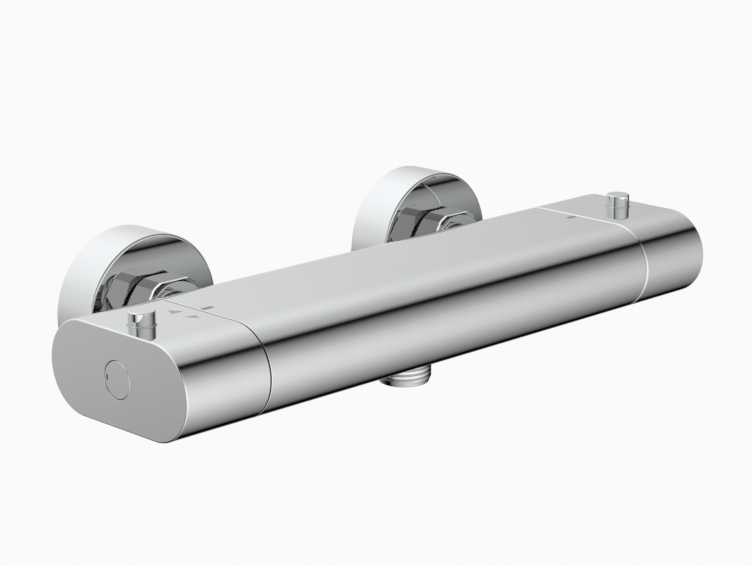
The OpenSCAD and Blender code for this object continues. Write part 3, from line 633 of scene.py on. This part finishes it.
# Each finish: its colour, metallic, roughness and its spread, scale of the grain, strength and
# depth in mm of its bump, and scale and darkest level of its tones
SURFACES = {
    "polished_chrome": ("chrome", 1.0, (0.014, 0.01), 400, None, (40, 0.985)),
    "cast_brass": ("brass", 1.0, (0.42, 0.2), 1400, (0.35, 0.08), (90, 0.86)),
    "turned_brass": ("brass", 1.0, (0.24, 0.1), 900, None, (70, 0.92)),
    "drawn_copper": ("copper", 1.0, (0.3, 0.15), 1100, (0.15, 0.03), (120, 0.85)),
    "grey_plastic": ("grey_plastic", 0.0, (0.5, 0.12), 2200, (0.3, 0.05), (80, 0.94)),
    "white_plastic": ("white_plastic", 0.0, (0.42, 0.1), 2000, (0.2, 0.04), (80, 0.96)),
    "rubber": ("rubber", 0.0, (0.62, 0.15), 2600, (0.4, 0.05), (150, 0.85)),
    "plain_steel": ("steel", 1.0, (0.26, 0.12), 1500, (0.12, 0.02), (150, 0.9)),
    "spring_wire": ("steel", 1.0, (0.26, 0.12), 1500, (0.12, 0.02), (150, 0.9)),
    "steel_mesh": ("steel", 1.0, (0.32, 0.1), 1500, None, (150, 0.9)),
    "ceramic": ("ceramic", 0.0, (0.16, 0.06), 900, None, (60, 0.97)),
    "print_grey": ("print_grey", 0.0, (0.8, 0.1), 3000, None, (400, 0.97)),
    "arrow_grey": ("arrow_grey", 0.0, (0.8, 0.1), 3000, None, (400, 0.97)),
}


def node_group(name, build):
    """The shader group of that name, built the first time it is needed."""
    return bpy.data.node_groups.get(name) or build()


def surface(name, colour, metallic, roughness, grain, bump, tone):
    """A Principled material with tone change, varied roughness and a fine grain."""
    made = bpy.data.materials.new("valve_" + name)
    made.use_nodes = True
    made.diffuse_color = (*colour, 1)
    nodes, links = made.node_tree.nodes, made.node_tree.links
    shader = nodes["Principled BSDF"]
    shader.inputs["Metallic"].default_value = metallic

    tones = nodes.new("ShaderNodeGroup")
    tones.node_tree = node_group("tone_change", tone_group)
    tones.inputs["Colour"].default_value = (*colour, 1)
    tones.inputs["Scale"].default_value = tone[0]
    tones.inputs["Darkest"].default_value = tone[1]
    links.new(tones.outputs["Colour"], shader.inputs["Base Color"])

    grains = nodes.new("ShaderNodeGroup")
    grains.node_tree = node_group("fine_grain", fine_grain_group)
    grains.inputs["Scale"].default_value = grain
    grains.inputs["Roughness"].default_value = roughness[0]
    grains.inputs["Spread"].default_value = roughness[1]
    links.new(grains.outputs["Roughness"], shader.inputs["Roughness"])
    if bump:
        add_relief(made, grains.outputs["Height"], *bump)
    return made


# Specular level of the printed marks
PRINT_SHINE = 0.08


def finish(name):
    """The material of a finish, made the first time it is needed."""
    made = bpy.data.materials.get("valve_" + name)
    if made:
        return made
    colour, *values = SURFACES[name]
    made = surface(name, getattr(bpy.context.scene.valve_colours, colour), *values)
    if name == "turned_brass":
        add_tool_marks(made)
    if name == "steel_mesh":
        add_weave(made)
    if name in ("print_grey", "arrow_grey"):
        shader = made.node_tree.nodes["Principled BSDF"]
        shader.inputs["Specular IOR Level"].default_value = PRINT_SHINE
    return made


def add_relief(material, height, strength, depth):
    """Feeds a height into the normals of a material, with its depth in mm."""
    nodes, links = material.node_tree.nodes, material.node_tree.links
    relief = nodes.new("ShaderNodeBump")
    relief.inputs["Strength"].default_value = strength
    relief.inputs["Distance"].default_value = depth * MM
    links.new(height, relief.inputs["Height"])
    links.new(relief.outputs["Normal"], nodes["Principled BSDF"].inputs["Normal"])


def add_tool_marks(material):
    """Puts turning marks on a material."""
    marks = material.node_tree.nodes.new("ShaderNodeGroup")
    marks.node_tree = node_group("tool_marks", tool_marks_group)
    add_relief(material, marks.outputs["Height"], 0.25, 0.02)


def add_weave(material):
    """Puts the fine square weave of a strainer on a material."""
    nodes, links = material.node_tree.nodes, material.node_tree.links
    place = nodes.new("ShaderNodeTexCoord")
    weave = nodes.new("ShaderNodeTexChecker")
    weave.inputs["Scale"].default_value = 2500
    links.new(place.outputs["Object"], weave.inputs["Vector"])
    add_relief(material, weave.outputs["Fac"], 0.6, 0.08)


def add_chrome(name, bm, body, node, sharp=SHARP):
    """Puts a chromed piece in the place of its CAD node."""
    return add_piece(
        name, bm, body, "polished_chrome", finish("polished_chrome"), node, sharp=sharp,
    )


def chrome_piece(name, node, body, width):
    """Replaces a chromed CAD node by a copy of it with rounded edges."""
    even_faces(add_chrome(name, rounded_copy(node, width), body, node))


def dress(name):
    """Gives the CAD nodes of one finish their material."""
    material = finish(name)
    for node in FINISHES[name]:
        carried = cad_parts[node]
        carried.data.materials.clear()
        carried.data.materials.append(material)


# Operators


class VALVE_OT_bar(bpy.types.Operator):
    """Round the edges of the bar's sleeve, the handles and their end caps"""

    bl_idname = "valve.bar"
    bl_label = "Bar and handles"

    def execute(self, context):
        sizes = context.scene.valve_sizes
        rows = (
            ("bar_sleeve", "body_shell", "valve_body", sizes.seam_rounding),
            ("left_handle", "flow_handle", "flow_handle", sizes.handle_rounding),
            ("right_handle", "temperature_handle", "temperature_handle", sizes.handle_rounding),
            ("left_end_cap", "flow_end_cap", "flow_handle", sizes.cap_rounding),
            ("right_end_cap", "temperature_end_cap", "temperature_handle", sizes.cap_rounding),
        )
        for name, node, body, width in rows:
            chrome_piece(name, node, body, width)
        return {"FINISHED"}


class VALVE_OT_buttons(bpy.types.Operator):
    """Round the edges of the stop buttons and of the bushes at their feet"""

    bl_idname = "valve.buttons"
    bl_label = "Stop buttons"

    def execute(self, context):
        sizes = context.scene.valve_sizes
        for side, water in (("left", "flow"), ("right", "temperature")):
            chrome_piece(
                side + "_stop_button", water + "_button", water + "_button",
                sizes.button_rounding,
            )
            chrome_piece(
                side + "_button_bush", water + "_button_bush", water + "_handle",
                sizes.bush_rounding,
            )
        return {"FINISHED"}


class VALVE_OT_inlets(bpy.types.Operator):
    """Turn the rosettes, round the union nuts and thread the unions behind them"""

    bl_idname = "valve.inlets"
    bl_label = "Inlets"

    def execute(self, context):
        sizes = context.scene.valve_sizes
        dress("polished_chrome")
        for side in ("left", "right"):
            self.rosette(side, sizes)
            self.nut(side, sizes)
        self.unions(sizes)
        return {"FINISHED"}

    def unions(self, sizes):
        """Cuts the plain wall ends of the unions down to a core and puts threads round it."""
        node = "offset_unions"
        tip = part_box(node)[1].y
        crest = sizes.outlet_thread / 2
        core = sizes.wall_core / 2

        # Only what lies behind this plane and within this margin of the thread is cut down
        foremost = -2 * MM
        margin = 0.1 * MM

        # By how much the thread's tube is sunk below the end of the union and overlaps its core
        sunk = 0.05 * MM
        overlap = 0.2 * MM
        bm = node_copy(node)
        for side in (-1, 1):
            rim = [vert.co for vert in bm.verts if vert.co.y > tip - TOUCH and vert.co.x * side > 0]
            x = (min(co.x for co in rim) + max(co.x for co in rim)) / 2
            z = (min(co.z for co in rim) + max(co.z for co in rim)) / 2
            root = tip
            for vert in bm.verts:
                arm = Vector((vert.co.x - x, vert.co.z - z))
                if vert.co.y > foremost and core < arm.length < crest + margin:
                    root = min(root, vert.co.y)
                    arm *= core / arm.length
                    vert.co.x = x + arm.x
                    vert.co.z = z + arm.y
            thread = threaded_tube(
                sunk, tip - root + overlap, sizes.thread_pitch, crest, sizes.outlet_root / 2,
                core - overlap, core + overlap, sizes.outlet_lead,
            )
            face_room(thread, x, tip, z)
            mesh = bpy.data.meshes.new("wall_thread")
            thread.to_mesh(mesh)
            thread.free()
            bm.from_mesh(mesh)
            bpy.data.meshes.remove(mesh)
        add_chrome("wall_unions", bm, "valve_body", node)

    def rosette(self, side, sizes):
        """Turns a rosette with the threaded neck inside it."""
        node = side + "_rosette"
        mouth_edge = 0.3 * MM
        inner_edge = 0.8 * MM
        radius = sizes.rosette_width / 2
        depth = sizes.rosette_depth
        wall = sizes.rosette_wall
        inside = radius - wall
        floor = depth - wall
        bore = sizes.rosette_bore / 2
        neck = bore + sizes.rosette_neck_wall
        profile = rounded_profile((
            (inside, 0, 0), (radius, 0, BROKEN_EDGE / 2), (radius, depth, sizes.rosette_rounding),
            (bore, depth, mouth_edge), (bore, sizes.rosette_neck_start, mouth_edge),
            (neck, sizes.rosette_neck_start, BROKEN_EDGE), (neck, floor, 0),
            (inside, floor, inner_edge),
        ))
        bm = bmesh.new()
        turned(bm, profile, ROSETTE_STEPS)
        middle = node_middle(node)
        face_room(bm, middle.x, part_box(node)[1].y, middle.z)
        even_faces(add_chrome(side + "_wall_rosette", bm, node, node))

    def nut(self, side, sizes):
        """Turns a union nut with its disc, and cuts the flats of its hexagon."""
        node = side + "_union_nut"
        disc_edge = 0.25 * MM
        disc_back_edge = 0.15 * MM
        front_band = 0.1 * MM
        cone_steps = 10
        sector = 360 / NUT_SIDES
        low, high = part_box(node)
        length = high.y - low.y
        hexagon = length - sizes.nut_disc_reach
        corner = sizes.nut_corners / 2
        flat = sizes.nut_flats / 2
        bore = sizes.nut_bore / 2
        thread = sizes.rosette_bore / 2
        disc = sizes.nut_disc / 2
        disc_back = length - sizes.nut_disc_thickness
        groove = disc - sizes.nut_groove
        bevel = sizes.nut_bevel_depth
        cone = []
        for step in range(cone_steps + 1):
            share = step / cone_steps
            cone.append((corner - sizes.nut_cone_width * (1 - share), sizes.nut_cone_length * share, 0))
        profile = rounded_profile((
            (thread, 0, BROKEN_EDGE), *cone,
            (corner, hexagon - sizes.nut_bevel_length, 0), (corner - bevel, hexagon, 0),
            (groove, hexagon - sizes.nut_dish, 0), (groove, disc_back, 0),
            (disc, disc_back, disc_back_edge), (disc, length, disc_edge),
            (bore, length, BROKEN_EDGE),
            (bore, sizes.nut_thread_depth, 0), (thread, sizes.nut_thread_depth, 0),
        ), 10)
        bm = bmesh.new()
        turned(bm, profile, NUT_STEPS)
        for vert in bm.verts:
            radius = vert.co.xy.length
            across = flat
            if vert.co.z > hexagon - front_band:
                across -= bevel
            turn = math.degrees(math.atan2(vert.co.y, vert.co.x)) % sector - sector / 2
            room = across / math.cos(math.radians(turn))
            if radius > room and vert.co.z <= hexagon + TOUCH:
                vert.co.xy *= room / radius
        merge_flat(bm, 0.3)
        middle = node_middle(node)
        face_room(bm, middle.x, high.y, middle.z)
        even_faces(add_chrome(side + "_nut", bm, node, node, sharp=10))


class VALVE_OT_metal(bpy.types.Operator):
    """Finish the brass, copper and steel pieces inside"""

    bl_idname = "valve.metal"
    bl_label = "Brass, copper and steel"

    def execute(self, context):
        for name in ("cast_brass", "turned_brass", "drawn_copper", "plain_steel", "steel_mesh"):
            dress(name)
        return {"FINISHED"}


class VALVE_OT_mouldings(bpy.types.Operator):
    """Finish the plastic mouldings, the seals and the ceramic discs"""

    bl_idname = "valve.mouldings"
    bl_label = "Mouldings, seals and discs"

    def execute(self, context):
        for name in ("grey_plastic", "white_plastic", "rubber", "ceramic"):
            dress(name)
        return {"FINISHED"}


class VALVE_OT_outlet(bpy.types.Operator):
    """Model the threaded outlet below the body"""

    bl_idname = "valve.outlet"
    bl_label = "Threaded outlet"

    def execute(self, context):
        sizes = context.scene.valve_sizes
        node = "outlet_nipple"
        low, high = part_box(node)
        middle = node_middle(node)
        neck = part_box("body_shell")[0].z - sizes.outlet_neck
        spigot = sizes.outlet_spigot / 2
        bore = sizes.outlet_bore / 2
        bm = threaded_tube(
            low.z, neck, sizes.thread_pitch, sizes.outlet_thread / 2, sizes.outlet_root / 2, bore,
            sizes.outlet_lead_diameter / 2, sizes.outlet_lead,
        )
        turned(bm, ((bore, neck), (spigot, neck), (spigot, high.z), (bore, high.z)))
        bmesh.ops.translate(bm, verts=bm.verts, vec=(middle.x, middle.y, 0))
        add_chrome("threaded_outlet", bm, "valve_body", node)
        return {"FINISHED"}


class VALVE_OT_springs(bpy.types.Operator):
    """Wind the springs of the buttons, the check valves and the thermostat"""

    bl_idname = "valve.springs"
    bl_label = "Springs"

    # Node, axis, wire in mm, turns, body, joint that would shorten it, for which it gets a mesh of its
    # own, room left beyond it in mm
    springs = (
        ("flow_button_spring", "Z", 0.5, 4, "flow_handle", "flow_button_press", 0),
        ("temperature_button_spring", "Z", 0.5, 4, "temperature_handle", "temperature_button_press", 0),
        ("left_check_spring", "Y", 0.5, 5, "valve_body", "left_check_open", 0),
        ("right_check_spring", "Y", 0.5, 5, "valve_body", "right_check_open", 0),
        ("overload_spring", "X", 1.0, 4, "carriage", None, 0),
        ("return_spring", "X", 0.9, 6, "valve_body", "spool_regulate", 0.85),
    )
    # How far each joint moves from rest
    travels = {
        "flow_button_press": 3 * MM,
        "temperature_button_press": 3 * MM,
        "left_check_open": 2.5 * MM,
        "right_check_open": 2.5 * MM,
        "spool_regulate": 0.7 * MM,
    }
    # Turns what was made along Z to the axis of a spring
    turns_to = {
        "X": Matrix.Rotation(math.radians(90), 4, "Y"),
        "Y": Matrix.Rotation(math.radians(-90), 4, "X"),
        "Z": Matrix.Identity(4),
    }

    def execute(self, context):
        sides = context.scene.valve_sizes.wire_sides
        for node, axis, wire, turns, body, joint, room in self.springs:
            low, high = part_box(node)
            along = "XYZ".index(axis)
            across = (along + 1) % 3
            length = high[along] - low[along] - room * MM
            radius = (high[across] - low[across]) / 2 - wire * MM / 2
            start = node_middle(node)
            start[along] = low[along]
            bm = coil_spring(radius, wire * MM, length, turns, sides)
            place = Matrix.Translation(start) @ self.turns_to[axis]
            bmesh.ops.transform(bm, matrix=place, verts=bm.verts)
            piece = add_piece(
                "wound_" + node, bm, body, "spring_steel", finish("spring_wire"), node,
            )
            if joint:
                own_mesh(piece)
        return {"FINISHED"}


class VALVE_OT_marks(bpy.types.Operator):
    """Print the index marks on the body and the arrows on the flow handle"""

    bl_idname = "valve.marks"
    bl_label = "Printed marks"

    def execute(self, context):
        sizes = context.scene.valve_sizes
        sunk = 0.02 * MM
        off_axis = 0.1 * MM
        axis_y = node_middle("body_shell").y
        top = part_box("body_shell")[1].z - sunk
        rise = sizes.mark_height + sunk
        front = axis_y + off_axis - sizes.mark_width / 2
        back = axis_y + off_axis + sizes.mark_width / 2
        for name, low, high in (("left_index", -98.6, -93.9), ("right_index", 93.7, 98.3)):
            left = low * MM
            right = high * MM
            corners = ((left, front), (right, front), (right, back), (left, back))
            add_piece(
                name, flat_mark(corners, top, rise), "valve_body", "grey_plastic",
                finish("print_grey"),
            )
        arrows = (
            ("arrow_back", ((-107.9, 7.2), (-109.6, 3.0), (-104.8, 2.8))),
            ("arrow_front", ((-109.3, -2.8), (-106.4, -7.3), (-105.1, -4.2))),
        )
        for name, corners in arrows:
            points = [(x * MM, axis_y + y * MM) for x, y in corners]
            add_piece(
                name, flat_mark(points, top, rise), "flow_handle", "grey_plastic",
                finish("arrow_grey"),
            )
        return {"FINISHED"}


class VALVE_OT_stage(bpy.types.Operator):
    """Set up the camera, the floor, the light tent and the backdrop"""

    bl_idname = "valve.stage"
    bl_label = "Stage"

    # Angle round the bar from the wall, over the top to the front, and the level of the panel
    panels = (
        (0, 0.655), (17, 0.73), (33, 0.865), (57, 0.98), (69, 0.96), (81, 0.85), (93, 0.70),
        (102, 0.59), (107.6, 0.52), (112, 0.325), (114.5, 0.205), (117, 0.085), (118.3, 0.012),
        (122.3, 0.014), (125, 0.045), (128, 0.115), (132, 0.215), (138, 0.325), (166, 0.80),
        (178, 0.92), (191, 0.985), (203, 0.97), (215, 0.91), (239, 0.64), (263, 0.37),
        (282, 0.185), (297, 0), (308, 0), (316, 0.04), (324, 0.13), (340, 0.445),
    )

    def execute(self, context):
        stage = context.scene.valve_stage
        self.camera(context, stage)
        self.floor(context, stage)
        self.tent(context, stage)
        self.world(context, stage)
        context.scene.view_settings.view_transform = "Standard"
        return {"FINISHED"}

    def camera(self, context, stage):
        """The camera at the photograph's place, angle and lens."""
        azimuth, elevation = stage.camera_azimuth, stage.camera_elevation
        back = Vector((
            math.sin(azimuth) * math.cos(elevation),
            -math.cos(azimuth) * math.cos(elevation),
            math.sin(elevation),
        ))
        data = bpy.data.cameras.new("photo_camera")
        data.lens = stage.camera_lens
        data.sensor_width = 36
        data.sensor_fit = "HORIZONTAL"
        data.clip_start = 0.05
        data.clip_end = 50
        camera = bpy.data.objects.new("photo_camera", data)
        camera.location = stage.camera_place
        camera.rotation_euler = (-back).to_track_quat("-Z", "Y").to_euler()
        context.scene.collection.objects.link(camera)
        context.scene.camera = camera

    def floor(self, context, stage):
        """A pale floor that carries a faint shadow and is clear from below."""
        bm = bmesh.new()
        bmesh.ops.create_circle(bm, cap_ends=True, segments=64, radius=stage.floor_radius)
        bmesh.ops.translate(bm, verts=bm.verts, vec=(0, 0, -stage.floor_drop))
        floor = self.stage_piece(context, "floor", bm)
        floor.visible_glossy = False
        material = bpy.data.materials.new("pale_floor")
        material.use_nodes = True
        nodes, links = material.node_tree.nodes, material.node_tree.links
        nodes.clear()
        leave = nodes.new("ShaderNodeOutputMaterial")
        paint = nodes.new("ShaderNodeBsdfDiffuse")
        paint.inputs["Color"].default_value = (*stage.backdrop, 1)
        glow = nodes.new("ShaderNodeEmission")
        glow.inputs["Color"].default_value = (*stage.backdrop, 1)
        seen = nodes.new("ShaderNodeMixShader")
        rays = nodes.new("ShaderNodeLightPath")
        share = nodes.new("ShaderNodeMath")
        share.operation = "MULTIPLY"
        share.inputs[1].default_value = stage.floor_glow
        beneath = nodes.new("ShaderNodeMixShader")
        clear = nodes.new("ShaderNodeBsdfTransparent")
        sides = nodes.new("ShaderNodeNewGeometry")
        links.new(rays.outputs["Is Camera Ray"], share.inputs[0])
        links.new(share.outputs[0], seen.inputs["Fac"])
        links.new(paint.outputs[0], seen.inputs[1])
        links.new(glow.outputs[0], seen.inputs[2])
        links.new(sides.outputs["Backfacing"], beneath.inputs["Fac"])
        links.new(seen.outputs[0], beneath.inputs[1])
        links.new(clear.outputs[0], beneath.inputs[2])
        links.new(beneath.outputs[0], leave.inputs["Surface"])
        floor.data.materials.append(material)

    def tent(self, context, stage):
        """A round tent whose panels lie along the bar and dim towards its ends."""
        warm = 0.99
        cool = 1.022
        cool_bands = ((15, 66), (240, 300))
        left_dimming = 0.4
        end_dimming = 0.65
        bm = bmesh.new()
        bmesh.ops.create_uvsphere(bm, u_segments=48, v_segments=24, radius=stage.tent_radius)
        tent = self.stage_piece(context, "light_tent", bm)
        tent.visible_camera = False
        tent.visible_diffuse = False
        tent.visible_shadow = False
        material = bpy.data.materials.new("tent_panels")
        material.use_nodes = True
        material.cycles.emission_sampling = "NONE"
        nodes, links = material.node_tree.nodes, material.node_tree.links
        nodes.clear()

        def math_node(operation, *values):
            node = nodes.new("ShaderNodeMath")
            node.operation = operation
            for index, value in enumerate(values):
                if isinstance(value, (int, float)):
                    node.inputs[index].default_value = value
                else:
                    links.new(value, node.inputs[index])
            return node.outputs[0]

        place = nodes.new("ShaderNodeTexCoord")
        unit = nodes.new("ShaderNodeVectorMath")
        unit.operation = "NORMALIZE"
        split = nodes.new("ShaderNodeSeparateXYZ")
        links.new(place.outputs["Object"], unit.inputs[0])
        links.new(unit.outputs["Vector"], split.inputs["Vector"])
        angle = math_node("ARCTAN2", split.outputs["Z"], split.outputs["Y"])
        share = math_node("FRACT", math_node("MULTIPLY_ADD", angle, 1 / math.tau, 1.0))
        band = nodes.new("ShaderNodeValToRGB")
        ramp = band.color_ramp
        for index, (degrees, level) in enumerate(self.panels):
            stop = ramp.elements[index] if index < 2 else ramp.elements.new(degrees / 360)
            stop.position = degrees / 360
            blue = cool if any(low < degrees < high for low, high in cool_bands) else warm
            stop.color = (level * warm, level, level * blue, 1)
        last = ramp.elements.new(1.0)
        last.color = (0.65, 0.655, 0.655, 1)
        links.new(share, band.inputs["Fac"])
        leftward = math_node("MULTIPLY", split.outputs["X"], -left_dimming)
        across = math_node("MAXIMUM", split.outputs["X"], leftward)
        inward = math_node("SUBTRACT", 1.0, math_node("MULTIPLY", across, across))
        ends = math_node("POWER", inward, end_dimming)
        glow = nodes.new("ShaderNodeEmission")
        links.new(band.outputs["Color"], glow.inputs["Color"])
        links.new(math_node("MULTIPLY", ends, stage.tent_level), glow.inputs["Strength"])
        leave = nodes.new("ShaderNodeOutputMaterial")
        links.new(glow.outputs[0], leave.inputs["Surface"])
        tent.data.materials.append(material)

    def world(self, context, stage):
        """A white room that the camera, the chrome and clear pieces see as the backdrop."""
        world = bpy.data.worlds.new("white_room")
        context.scene.world = world
        world.use_nodes = True
        nodes, links = world.node_tree.nodes, world.node_tree.links
        nodes.clear()
        rays = nodes.new("ShaderNodeLightPath")
        seen = rays.outputs["Is Camera Ray"]
        for ray in ("Is Glossy Ray", "Is Transmission Ray"):
            either = nodes.new("ShaderNodeMath")
            either.operation = "MAXIMUM"
            links.new(seen, either.inputs[0])
            links.new(rays.outputs[ray], either.inputs[1])
            seen = either.outputs[0]
        room = nodes.new("ShaderNodeBackground")
        room.inputs["Color"].default_value = (1, 1, 1, 1)
        room.inputs["Strength"].default_value = 1.0
        shown = nodes.new("ShaderNodeBackground")
        shown.inputs["Color"].default_value = (*stage.backdrop, 1)
        mix = nodes.new("ShaderNodeMixShader")
        leave = nodes.new("ShaderNodeOutputWorld")
        links.new(seen, mix.inputs["Fac"])
        links.new(room.outputs[0], mix.inputs[1])
        links.new(shown.outputs[0], mix.inputs[2])
        links.new(mix.outputs[0], leave.inputs["Surface"])

    def stage_piece(self, context, name, bm):
        """Makes an object of a bmesh that belongs to the stage."""
        mesh = bpy.data.meshes.new(name)
        bm.to_mesh(mesh)
        bm.free()
        piece = bpy.data.objects.new(name, mesh)
        context.scene.collection.objects.link(piece)
        return piece


class VALVE_PT_panel(bpy.types.Panel):
    """Lists the pieces of the valve"""

    bl_label = "Shower valve"
    bl_idname = "VALVE_PT_panel"
    bl_space_type = "VIEW_3D"
    bl_region_type = "UI"
    bl_category = "Shower valve"

    def draw(self, context):
        column = self.layout.column(align=True)
        for operator in STEPS:
            column.operator(operator.bl_idname)
        for group in ("valve_sizes", "valve_colours", "valve_stage"):
            settings = getattr(context.scene, group)
            box = self.layout.box()
            for name in settings.__annotations__:
                box.prop(settings, name)


STEPS = (
    VALVE_OT_bar, VALVE_OT_buttons, VALVE_OT_inlets, VALVE_OT_outlet, VALVE_OT_metal,
    VALVE_OT_mouldings, VALVE_OT_springs, VALVE_OT_marks, VALVE_OT_stage,
)
SETTINGS = {"valve_sizes": ValveSizes, "valve_colours": ValveColours, "valve_stage": ValveStage}


def register():
    for settings in SETTINGS.values():
        bpy.utils.register_class(settings)
    for name, settings in SETTINGS.items():
        setattr(bpy.types.Scene, name, PointerProperty(type=settings))
    for operator in STEPS:
        bpy.utils.register_class(operator)
    bpy.utils.register_class(VALVE_PT_panel)


def unregister():
    bpy.utils.unregister_class(VALVE_PT_panel)
    for operator in reversed(STEPS):
        bpy.utils.unregister_class(operator)
    for name, settings in SETTINGS.items():
        delattr(bpy.types.Scene, name)
        bpy.utils.unregister_class(settings)


def main():
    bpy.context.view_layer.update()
    register()
    for operator in STEPS:
        module, action = operator.bl_idname.split(".")
        getattr(getattr(bpy.ops, module), action)()


if __name__ == "__main__":
    main()
